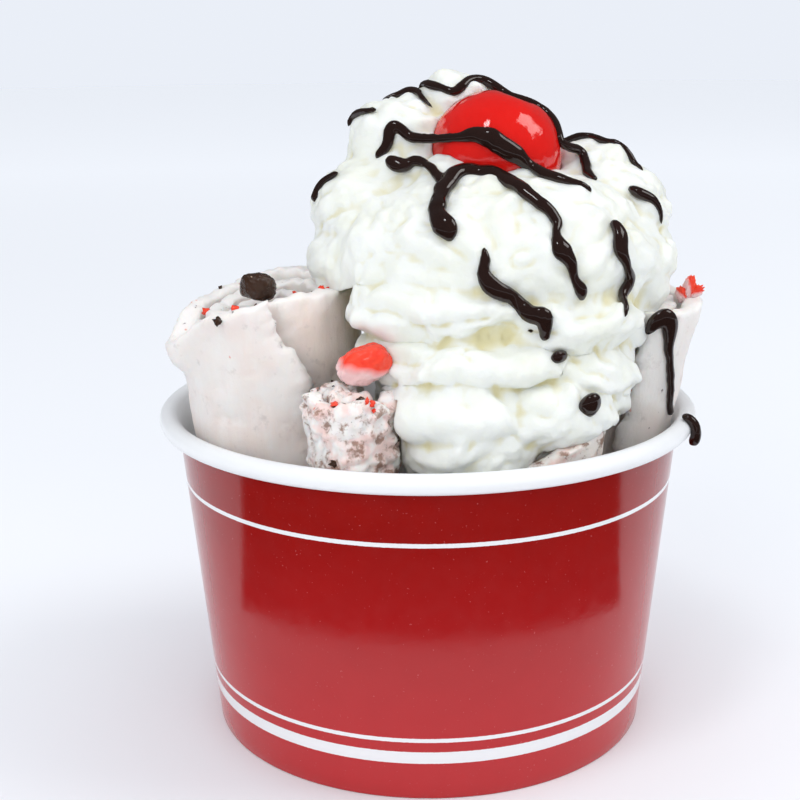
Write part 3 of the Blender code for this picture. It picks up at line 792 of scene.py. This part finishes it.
def roll_space(roll):
    """The whole space that a roll takes, for cutting what rests on it."""
    sides = 48
    rise = np.linspace(0, 1, 16)
    turn = np.arange(sides) * 360 / sides
    angle = np.tile(turn, len(rise))
    level = np.repeat(rise, sides)
    top = roll.top_height(np.full(len(angle), roll.radius), angle) + 0.15
    points = roll.place_points(np.full(len(angle), roll.radius + 0.2), angle,
                               ROLL_FOOT + (top - ROLL_FOOT) * level)
    middle = roll.place_points(np.zeros(2), np.zeros(2), np.array([ROLL_FOOT, roll.top - roll.hollow + 0.3]))
    points = np.concatenate([points, middle])
    faces = ring_faces(len(rise), sides)
    high = (len(rise) - 1) * sides
    for side in range(sides):
        beside = (side + 1) % sides
        faces.append((beside, side, len(points) - 2))
        faces.append((high + side, high + beside, len(points) - 1))
    mesh = bpy.data.meshes.new("space")
    mesh.from_pydata((points * MM).tolist(), [], faces)
    return link_object("space", mesh)


# Whipped cream


def cream_lobes():
    """Soft lobes of the heap: centre and half sizes, from the crown down."""
    return [
        ((6, 4, 111), (9, 9, 10)),
        ((-4, 0, 107.3), (10.2, 10, 9.7)),
        ((11.3, -7, 89), (31.7, 28, 17.5)),
        ((29, 0, 98), (12, 13, 10)),
        ((34, -3, 96), (10, 12, 9)),
        ((-9.5, -4, 97.5), (11, 13, 9)),
        ((-3, -5, 101.5), (10, 10, 8)),
        ((-8.5, -12, 89), (12.5, 13, 8)),
        ((10, 12, 92), (21, 15, 14)),
        ((32, -6, 87), (13, 16, 11)),
        ((4, -24, 83), (18, 14, 6.5)),
        ((20, -22, 81), (17, 14, 6.5)),
        ((31, -11, 79), (9, 13, 7)),
        ((7, -24, 75), (19, 16, 6.5)),
        ((22, -20, 72), (14, 15, 8)),
        ((5, -30.5, 67), (13, 13, 8)),
        ((19, -28, 66), (12.5, 12, 7.5)),
        ((7, -33, 61), (12.5, 10.5, 7)),
        ((25, -20, 67), (10, 11, 7)),
        ((5.5, -12.5, 102.5), (7.5, 6, 5.5)),
        ((14, -15, 101), (9, 5, 5.3)),
        ((10, -2, 66), (20, 20, 20)),
        ((8, 12, 76), (18, 14, 12)),
    ]


def ball(name, centre, half, segments=64):
    """An ellipsoid in millimetres."""
    bm = bmesh.new()
    place = Matrix.Diagonal((MM, MM, MM, 1)) @ Matrix.Translation(centre) @ Matrix.Diagonal((*half, 1))
    bmesh.ops.create_uvsphere(bm, u_segments=segments, v_segments=segments // 2, radius=1, matrix=place)
    return bmesh_object(name, bm)


def join(objects, name):
    """Join mesh objects into a new one."""
    bm = bmesh.new()
    for obj in objects:
        bm.from_mesh(obj.data)
        bpy.data.objects.remove(obj, do_unlink=True)
    return bmesh_object(name, bm)


CREASE_REACH = 30.0
CREASES = [
    (1.3, [(-131, -4), (-120, -5), (-112, -9), (-102, -8), (-94, -7), (-81, -11), (-73, -11), (-63, -6)]),
    (0.9, [(-121, -17), (-112, -17), (-100, -13), (-88, -13), (-77, -14)]),
    (0.7, [(-120, -18), (-115, -22), (-107, -23), (-101, -24), (-92, -25), (-81, -26)]),
]


def soft_ridge(value):
    """A value's size, rounded where it passes through 0."""
    return np.sqrt(value * value + 0.012) - 0.11


def crease_relief(tree, points):
    """Long folds across the front, each a valley under a hanging layer."""
    relief = np.zeros(len(points))
    for depth, route in CREASES:
        line = lay_route(tree, CREAM_CENTRE, route, 0.8)[0]
        gap = np.full(len(points), 1e9)
        above = np.zeros(len(points))
        for place in line:
            away = ((points - place) ** 2).sum(axis=1)
            nearer = away < gap
            gap[nearer] = away[nearer]
            above[nearer] = points[nearer, 2] - place[2]
        near = np.exp(-gap / CREASE_REACH)
        valley = np.exp(-(((above - 1.0) / 1.3) ** 2))
        layer = np.exp(-(((above - 3.8) / 2.0) ** 2))
        under = np.exp(-(((above + 2.6) / 2.4) ** 2))
        relief += depth * near * (0.8 * layer + 0.4 * under - 0.9 * valley)
    return relief


def cream_relief(points):
    """Depth of the cream's soft lumps, layers and torn peaks, in millimetres."""
    warp = np.stack([NOISE(points, 14.0), NOISE_B(points, 14.0), NOISE_C(points, 14.0)], axis=1) * 3.5
    moved = points + warp
    lumps = NOISE(moved, 13.0) * 1.1
    knobs = soft_ridge(NOISE_B(moved * (1, 1, 1.3), 7.5)) * 1.5 - 0.4
    layers = (moved[:, 2] + 0.12 * moved[:, 0] + 2.0 * NOISE_B(points, 15.0)) / 9.0
    folds = -0.45 * np.cos(2 * math.pi * layers)
    folds *= smooth_step((NOISE_C(points, 16.0) + 0.25) / 0.7)
    crisp = soft_ridge(NOISE(moved * (1, 1, 1.2) + 40, 4.9)) * 0.9 - 0.2
    fine = soft_ridge(NOISE_C(moved * (1, 1, 1.5), 3.0)) * 0.7 - 0.14
    patchy = smooth_step((NOISE(points, 9.0) + 0.05) / 0.4)
    grain = NOISE(moved * (1, 1, 1.4), 1.7) * 0.2 * patchy
    peaks = smooth_step((NOISE_C(moved, 4.4) - 0.42) / 0.3) * 1.0 * patchy
    return lumps + knobs + folds + crisp + fine + grain + peaks


def make_cream(rolls, material):
    """The heap of whipped cream, cut to the rolls and cherry that it lies against."""
    lobes = [ball("lobe", centre, half, 48) for centre, half in cream_lobes()]
    heap = remesh(join(lobes, "whipped_cream_heap"), CREAM_VOXEL)
    points = points_of(heap.data)
    heights = cream_relief(points) + crease_relief(surface_of(heap), points)
    set_points(heap.data, points + normals_of(heap.data) * heights[:, None])
    set_points(heap.data, smoothed(heap.data, points_of(heap.data), 1))
    tools = [roll_space(roll) for roll in rolls]
    tools.append(ball("seat", CHERRY_CENTRE, (CHERRY_RADIUS + 0.1,) * 3))
    cut(heap, tools)
    keep_largest_body(heap)
    dress(heap, material)
    # The cavity attribute marks the creases where the material paints yellow shade.
    add_attribute(heap, "cavity", cavity_of(heap.data, 14, 0.45))
    return settle(heap, "whipped_cream")


# Cherry, fruit and cookie


def make_cherry(material):
    """A round cherry, a little flattened, with the dimple of its stalk and fine creases."""
    cherry = ball("cherry_fruit", (0, 0, 0), (CHERRY_RADIUS,) * 3, 96)
    points = points_of(cherry.data)
    from_axis = np.linalg.norm(points[:, :2], axis=1)
    upper = points[:, 2] > 0
    points[:, 2] -= 1.5 * np.exp(-((from_axis / 2.2) ** 2)) * upper
    points[:, 2] *= 0.97
    points += unit(points) * (NOISE(points, 7.0) * 0.22 + NOISE_B(points, 2.2) * 0.06)[:, None]
    tilt = np.array(Matrix.Rotation(math.radians(CHERRY_TILT), 3, "Y"))
    set_points(cherry.data, points @ tilt.T + np.array(CHERRY_CENTRE))
    dress(cherry, material)
    return settle(cherry, "cherry")


def make_chunk(name, node, slot, place, half, turn, seed, jagged, boxy, material):
    """A rough piece of food."""
    bm = bmesh.new()
    bmesh.ops.create_icosphere(bm, subdivisions=5, radius=1)
    chunk = bmesh_object(name, bm)
    points = points_of(chunk.data) * MM
    points /= (np.abs(points) ** boxy).sum(axis=1, keepdims=True) ** (1 / boxy)
    noise = Noise(seed)
    swell = 1 + 0.12 * noise(points, 0.9) + jagged * (np.abs(noise(points + 5, 0.45)) - 0.25)
    swell += 0.03 * noise(points, 0.15)
    pale = 0.5 - 0.45 * points[:, 2] - 0.45 * points[:, 0] + 0.12 * noise(points, 0.7)
    points = points * swell[:, None] * np.array(half)
    spin = np.array(Euler([math.radians(angle) for angle in turn]).to_matrix())
    set_points(chunk.data, points @ spin.T + np.array(place))
    dress(chunk, material)
    add_attribute(chunk, "pale", np.clip(pale, 0, 1))
    return settle(chunk, node)


def crumb(random, place, size):
    """Points and faces of one small angular crumb."""
    bm = bmesh.new()
    bmesh.ops.create_icosphere(bm, subdivisions=2, radius=1)
    points = np.array([vert.co for vert in bm.verts])
    faces = [tuple(vert.index for vert in face.verts) for face in bm.faces]
    bm.free()
    points *= 1 + 0.28 * random.normal(size=(len(points), 1))
    points *= random.uniform(0.6, 1.3, 3)
    spin = np.array(Euler(random.uniform(0, 6.28, 3)).to_matrix())
    return points @ spin.T * size + place, faces


def scatter_crumbs(name, sheets, count, sizes, seed, material):
    """Crumbs half sunk in the torn edges of the rolls, joined into one mesh."""
    random = np.random.default_rng(seed)
    points = []
    faces = []
    first = 0
    for sheet, share in sheets:
        mesh = sheet.data
        places = points_of(mesh)
        torn = np.empty(len(places), np.float32)
        mesh.attributes["torn"].data.foreach_get("value", torn)
        likely = np.clip(torn - 0.45, 0, 1) * (places[:, 2] > CRUMBS_FROM)
        likely = likely / likely.sum()
        for index in random.choice(len(places), round(count * share), p=likely):
            size = random.uniform(*sizes)
            crumb_points, crumb_faces = crumb(random, places[index], size)
            points.append(crumb_points)
            faces += [tuple(first + number for number in face) for face in crumb_faces]
            first += len(crumb_points)
    piece = mesh_piece(name, np.concatenate(points), faces, material)
    add_attribute(piece, "pale", np.full(len(piece.data.vertices), 0.2))
    return settle(piece, None)


# Hot fudge


FUDGE_IN_FRONT = [
    [(-167, 48, 0.8), (-159, 49, 1.7), (-156, 54, 1.2), (-143, 55, 0.8), (-123, 48, 1.2)],
    [(-107, 19, 0.5), (-109, 24, 2.1), (-115, 31, 1.6), (-119, 45, 1.6), (-116, 56, 1.7), (-104, 58, 1.5),
     (-89, 56, 1.4), (-80, 49, 1.4), (-74, 39, 1.3), (-69, 33, 1.2), (-66, 27, 1.1), (-68, 22, 0.8),
     (-68, 16, 1.7), (-65, 11, 1.1), (-64, 6, 0.8), (-62, 2, 1.2), (-61, -2, 0.4)],
    [(-95, 18, 0.4), (-94, 14, 0.9), (-95, 9, 1.2), (-91, 4, 1.5), (-85, 1, 1.3), (-80, -4, 1.4),
     (-76, -5, 1.5), (-75, -10, 1.0), (-75, -13, 0.9)],
    [(-74, -17, 1.0), (-71, -17, 1.2), (-67, -17, 0.7)],
    [(-67, -27, 2.4), (-63.5, -27, 2.7), (-60, -27, 2.4)],
    [(-80.5, -10, 0.5), (-79, -10, 0.55), (-77.5, -10, 0.5)],
    [(-41, 24, 0.8), (-42, 18, 1.6), (-44, 13, 1.5), (-42, 8, 0.9), (-38, 3, 1.1), (-41, -1, 1.1),
     (-47, -4, 0.6), (-49, -7, 0.3)],
]
FUDGE_AT_THE_SIDES = [
    [(30, 58, 0.9), (26, 50, 0.9), (12, 44, 0.7), (7, 38, 0.7), (5, 36, 0.6), (0, 33, 0.4)],
    [(-12, 33, 0.8), (-13, 29, 1.4), (-12, 23, 0.8), (-10, 16, 0.3)],
    [(-179, 22, 1.1), (179, 26, 1.0), (-180, 30, 0.8), (-177, 34, 0.5)],
    [(166, 44, 0.6), (165, 47, 0.8), (170, 51, 0.8), (174, 55, 0.6)],
    [(156, 54, 0.5), (150, 58, 1.0), (148, 61, 1.3), (149, 64, 0.8), (158, 67, 0.5), (164, 70, 0.3)],
]
FUDGE_BEHIND = [
    [(150, 46, 1.0), (132, 52, 1.5), (112, 46, 1.2), (98, 52, 1.6), (76, 44, 1.3), (58, 50, 1.4),
     (40, 42, 0.8)],
    [(140, 30, 1.7), (128, 20, 1.2), (122, 6, 1.5), (118, -4, 0.9)],
    [(104, 34, 0.8), (92, 24, 1.5), (88, 10, 1.6), (80, 0, 1.0)],
    [(70, 34, 0.7), (58, 26, 1.4), (50, 12, 1.1), (38, 4, 1.5), (34, -2, 0.8)],
    [(30, 34, 0.6), (20, 24, 1.3), (16, 10, 0.9), (14, 2, 1.3)],
    [(170, 16, 0.6), (160, 8, 1.3), (156, -2, 1.0)],
]
FUDGE_OVER_CHERRY = [
    [(CREAM_CENTRE, [(-173, 44, 0.6), (-174, 48, 0.9), (-175, 52, 1.2), (-178, 57, 1.1)]),
     (CHERRY_CENTRE, [(-168, 14, 1.0), (-134, 19, 0.9), (-113, 23, 1.4), (-94, 18, 1.9), (-79, 8, 1.7),
                      (-65, -2, 1.2)]),
     (CREAM_CENTRE, [(-52, 51, 1.2), (-48, 43, 0.9), (-41, 35, 0.5)])],
    [(CREAM_CENTRE, [(140, 63, 0.6), (145, 69, 0.9), (145, 76, 0.9)]),
     (CHERRY_CENTRE, [(112, 60, 1.1), (60, 62, 1.1), (25, 46, 1.1), (4, 30, 1.1), (-18, 12, 0.9)]),
     (CREAM_CENTRE, [(6, 52, 0.9), (-10, 46, 0.9), (-22, 41, 0.5)])],
]
ROLL_DRIP = [(-85, 76.8, 0.6), (-80, 78.8, 1.3), (-73, 79.7, 1.7), (-67, 77.6, 1.6), (-63, 74.4, 1.0),
             (-56, 70.6, 0.85), (-48, 66.5, 0.8), (-41, 62.5, 0.8), (-35, 60.4, 0.85)]
RIM_DRIP = [(48.0, 61.6, 0.5), (49.2, 61.2, 1.0), (50.2, 60.2, 1.25), (50.6, 58.8, 1.3), (50.3, 57.3, 1.45),
            (49.9, 56.4, 1.5)]
RIM_DRIP_ANGLE = -21.0


def spline_through(points, step):
    """Points evenly spread along a smooth curve through the given ones."""
    points = [np.asarray(point, float) for point in points]
    ends = [points[0] * 2 - points[1], *points, points[-1] * 2 - points[-2]]
    result = []
    for before, first, second, after in zip(ends, ends[1:], ends[2:], ends[3:]):
        count = max(1, round(float(np.linalg.norm(second - first)) / step))
        for index in range(count):
            t = index / count
            result.append(0.5 * (2 * first + (second - before) * t
                                 + (2 * before - 5 * first + 4 * second - after) * t ** 2
                                 + (3 * first - before - 3 * second + after) * t ** 3))
    return np.array([*result, points[-1]])


def surface_of(*objects):
    """A tree of the objects' surfaces, for laying things on them."""
    points = []
    faces = []
    for obj in objects:
        first = len(points)
        points += [vert.co for vert in obj.data.vertices]
        faces += [tuple(first + index for index in face.vertices) for face in obj.data.polygons]
    return BVHTree.FromPolygons(points, faces)


def directions(route):
    """Vectors, one long, in the directions of a route in degrees."""
    route = np.array(route, float)
    rise = np.radians(route[:, 1])
    return bearing(route[:, 0]) * np.cos(rise)[:, None] + np.outer(np.sin(rise), (0, 0, 1))


def cast(tree, centre, direction):
    """Where a ray from outside towards a centre meets a surface."""
    return tree.ray_cast(Vector((centre + direction * RAY_START) * MM), Vector(-direction))[0]


def lay_route(tree, centre, route, step=STRAND_STEP):
    """Points, outward directions and half widths of a strand laid on a surface round a centre."""
    away = directions([place[:2] for place in route]) * ROUTE_BALL
    widths = [place[2] if len(place) > 2 else 1.0 for place in route]
    line = spline_through(np.column_stack([away, widths]), step)
    away = unit(line[:, :3])
    centre = np.array(centre, float)
    reach = []
    for direction in away:
        hit = cast(tree, centre, direction)
        reach.append((hit / MM - Vector(centre)).length if hit else ROUTE_BALL)
    reach = np.array(reach)
    padded = np.pad(reach, 2, mode="edge")
    level = np.max([padded[shift:shift + len(reach)] for shift in range(5)], axis=0)
    reach = 0.5 * reach + 0.5 * level
    for _ in range(3):
        padded = np.pad(reach, 1, mode="edge")
        reach = 0.25 * padded[:-2] + 0.5 * padded[1:-1] + 0.25 * padded[2:]
    return centre + away * reach[:, None], away, line[:, 3]


def lay_parts(tree, parts):
    """Points, outward directions and half widths of a strand that runs over several round surfaces."""
    places = []
    for centre, route in parts:
        centre = np.array(centre)
        for direction, place in zip(directions([place[:2] for place in route]), route):
            places.append([*(cast(tree, centre, direction) / MM), place[2]])
    line = spline_through(places, STRAND_STEP)
    points = line[:, :3].copy()
    away = np.empty_like(points)
    for index, point in enumerate(points):
        spot, normal = tree.find_nearest(Vector(point * MM))[:2]
        away[index] = normal
        if (Vector(point) * MM - spot).dot(normal) < 0:
            points[index] = np.array(spot) / MM
    for _ in range(4):
        for values in (points, away):
            padded = np.pad(values, ((1, 1), (0, 0)), mode="edge")
            values[:] = 0.25 * padded[:-2] + 0.5 * padded[1:-1] + 0.25 * padded[2:]
    return points, unit(away), line[:, 3]


def strand(points, away, widths, seed):
    """A poured strand: an uneven tube, flatter where it is wide, with round ends."""
    length = np.concatenate([[0], np.cumsum(np.linalg.norm(np.diff(points, axis=0), axis=1))])
    marks = np.stack([length, np.full_like(length, seed * 3.7), np.zeros_like(length)], axis=1)
    along = unit(np.gradient(points, axis=0))
    across = unit(np.cross(along, away))
    up = np.cross(across, along)
    width = widths * (1 + 0.16 * NOISE(marks, 3.0) + 0.08 * NOISE_B(marks, 1.4))
    from_end = np.minimum(length, length[-1] - length)
    width = width * np.sqrt(np.clip(1 - (1 - np.clip(from_end / widths, 0, 1)) ** 2, 0.03, 1))
    thick = 1.05 * width / (1 + 0.3 * width)
    middle = points + across * (0.28 * NOISE_C(marks, 2.6))[:, None] + up * (thick * 0.3)[:, None]
    turn = np.radians(np.arange(STRAND_SIDES) * 360 / STRAND_SIDES)
    ring = (across[:, None] * np.cos(turn)[None, :, None] * width[:, None, None]
            + up[:, None] * np.sin(turn)[None, :, None] * thick[:, None, None])
    verts = (middle[:, None] + ring).reshape(-1, 3)
    faces = ring_faces(len(points), STRAND_SIDES)
    faces.append(tuple(range(STRAND_SIDES))[::-1])
    faces.append(tuple(range(len(verts) - STRAND_SIDES, len(verts))))
    return verts, faces


def fudge_piece(name, strands, material):
    """Strands run together into one smooth piece of fudge."""
    bm = bmesh.new()
    for verts, faces in strands:
        made = [bm.verts.new(vert * MM) for vert in verts]
        for face in faces:
            bm.faces.new([made[index] for index in face])
    bmesh.ops.recalc_face_normals(bm, faces=bm.faces)
    obj = remesh(bmesh_object(name, bm), FUDGE_VOXEL)
    set_points(obj.data, smoothed(obj.data, points_of(obj.data), 5))
    dress(obj, material)
    return obj


def make_fudge(heap, cherry, roll, material):
    """All the fudge: on the cream and cherry, down the right roll and over the rim."""
    surface = surface_of(heap, cherry)
    strands = []
    for route in FUDGE_IN_FRONT + FUDGE_AT_THE_SIDES + FUDGE_BEHIND:
        strands.append(strand(*lay_route(surface, CREAM_CENTRE, route), len(strands)))
    for parts in FUDGE_OVER_CHERRY:
        strands.append(strand(*lay_parts(surface, parts), len(strands)))
    piece = fudge_piece("fudge_drizzle", strands, material)
    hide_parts("cherry")
    settle(piece, "whipped_cream")

    angle, height, widths = spline_through(ROLL_DRIP, STRAND_STEP).T
    points = roll.place_points(roll.radius + 0.15 - SHEET_PITCH * (angle - roll.start) / 360, angle, height)
    drip = fudge_piece("fudge_roll_drip", [strand(points, bearing(angle), widths, ROLL_DRIP_SEED)], material)
    settle(drip, "ice_cream_roll_right")

    turn = math.radians(RIM_DRIP_ANGLE)
    reach, height, widths = spline_through(RIM_DRIP, RIM_STEP).T
    points = np.stack([reach * math.cos(turn), reach * math.sin(turn), height], axis=1)
    slope = np.gradient(points[:, [0, 2]], axis=0)
    away = unit(np.stack([-slope[:, 1], np.zeros(len(points)), slope[:, 0]], axis=1))
    drop = fudge_piece("fudge_rim_drip", [strand(points, away, widths, RIM_DRIP_SEED)], material)
    settle(drop, "cup")


# Stage


def make_stage():
    """A plain pale floor, an even pale surround and soft light."""
    paint = Paint("stage_white", Roughness=0.7, Specular_IOR_Level=0.2)
    paint.use("Base Color", (*FLOOR_COLOUR, 1.0))
    away = paint.node("ShaderNodeVectorMath", [("operation", "LENGTH")], Vector=paint.place).outputs["Value"]
    paint.use("Emission Color", (*FLOOR_GLOW, 1.0))
    paint.use("Emission Strength", paint.band(away, GLOW_FROM * MM, GLOW_TO * MM, GLOW))
    points = bearing(np.arange(FLOOR_SIDES) * 360 / FLOOR_SIDES) * FLOOR_RADIUS
    mesh_piece("floor", points, [tuple(range(FLOOR_SIDES))], paint.material)

    world = bpy.data.worlds.new("studio")
    bpy.context.scene.world = world
    world.use_nodes = True
    nodes = world.node_tree.nodes
    links = world.node_tree.links
    nodes["Background"].inputs["Color"].default_value = (*SKY_COLOUR, 1.0)
    split = nodes.new("ShaderNodeSeparateXYZ")
    links.new(nodes.new("ShaderNodeTexCoord").outputs["Generated"], split.inputs[0])
    rise = nodes.new("ShaderNodeMapRange")
    links.new(split.outputs["Z"], rise.inputs["Value"])
    rise.inputs["To Min"].default_value = SKY_LOW
    rise.inputs["To Max"].default_value = SKY_HIGH
    links.new(rise.outputs["Result"], nodes["Background"].inputs["Strength"])
    path = nodes.new("ShaderNodeLightPath")
    shader = nodes["Background"].outputs[0]
    for ray, colour in (("Is Glossy Ray", SKY_IN_GLOSS), ("Is Camera Ray", SKY_SEEN)):
        plain = nodes.new("ShaderNodeBackground")
        plain.inputs["Color"].default_value = (*colour, 1.0)
        mix = nodes.new("ShaderNodeMixShader")
        links.new(path.outputs[ray], mix.inputs[0])
        links.new(shader, mix.inputs[1])
        links.new(plain.outputs[0], mix.inputs[2])
        shader = mix.outputs[0]
    links.new(shader, nodes["World Output"].inputs["Surface"])
    make_flag()
    for light in LIGHTS:
        add_area(*light)


def make_flag():
    """A dark card on the floor round the front, seen in reflections only."""
    paint = Paint("flag_black", Roughness=1.0)
    paint.use("Base Color", (0.03, 0.03, 0.03, 1.0))
    away = bearing(np.arange(FLAG_FROM, FLAG_TO + 1, FLAG_STEP))
    points = np.concatenate([away * FLAG_INNER, away * FLAG_OUTER]) + (0, 0, FLAG_LEVEL)
    count = len(away)
    faces = [(side, count + side, count + side + 1, side + 1) for side in range(count - 1)]
    flag = mesh_piece("flag", points, faces, paint.material)
    flag.visible_camera = False
    flag.visible_diffuse = False
    flag.visible_shadow = False
    flag.visible_transmission = False


def add_area(name, place, target, size, power, colour, glossy):
    """A square soft box aimed at a point, seen in reflections or not."""
    data = bpy.data.lights.new(name, "AREA")
    data.size = size
    data.energy = power
    data.color = colour
    light = link_object(name, data)
    light.location = place
    light.visible_glossy = glossy
    aim = Vector(target) - Vector(place)
    light.rotation_euler = aim.to_track_quat("-Z", "Y").to_euler()


def make_camera():
    """The photograph's viewpoint, worked out from the cup's rim and foot."""
    data = bpy.data.cameras.new("camera")
    data.lens = CAMERA_LENS
    data.sensor_width = 36
    data.clip_start = 0.01
    camera = link_object("camera", data)
    turn = Matrix.Rotation(math.radians(CAMERA_LEFT), 4, "Z")
    down = Matrix.Rotation(math.radians(90 - CAMERA_DOWN), 4, "X")
    roll = Matrix.Rotation(math.radians(CAMERA_ROLL), 4, "Z")
    camera.matrix_world = Matrix.Translation(Vector(CAMERA_PLACE) * MM) @ turn @ down @ roll
    bpy.context.scene.camera = camera
    bpy.context.scene.view_settings.view_transform = "Standard"


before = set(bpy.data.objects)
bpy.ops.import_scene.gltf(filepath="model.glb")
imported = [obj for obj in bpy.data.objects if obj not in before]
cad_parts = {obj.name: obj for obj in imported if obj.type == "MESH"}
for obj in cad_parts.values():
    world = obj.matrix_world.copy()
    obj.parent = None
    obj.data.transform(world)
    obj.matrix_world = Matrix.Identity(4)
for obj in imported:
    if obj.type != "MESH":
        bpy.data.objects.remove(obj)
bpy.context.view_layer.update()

make_camera()
make_stage()

paper = white_paper()
ice_cream = ice_cream_paint()
fudge = fudge_paint()
strawberry = strawberry_paint()
cookie = cookie_paint()

make_cup(printed_paper(), paper)
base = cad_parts["cup_base"]
base.data.materials.clear()
base.data.materials.append(paper)

rolls = ice_cream_rolls()
sheets = {roll.name: make_roll(roll, ice_cream) for roll in rolls}
right_roll = next(roll for roll in rolls if roll.name == "ice_cream_roll_right")
heap = make_cream(rolls, cream_paint())
cherry = make_cherry(cherry_paint())
make_fudge(heap, cherry, right_roll, fudge)
paints = {"strawberry": strawberry, "cookie": cookie, "ice_cream": ice_cream}
chunks = {chunk[0]: make_chunk(*chunk, paints[chunk[2]]) for chunk in CHUNKS}
crumble = chunks["ice_cream_crumble"]
for name in ("crumbly", "torn"):
    add_attribute(crumble, name, np.ones(len(crumble.data.vertices)))
torn_sheets = [(sheets["ice_cream_roll_" + side], share) for side, share in CRUMB_SHARES.items()]
scatter_crumbs("cookie_crumbs", torn_sheets, 40, (0.3, 0.8), 4, cookie)
scatter_crumbs("fruit_bits", torn_sheets, 26, (0.35, 0.95), 8, strawberry)
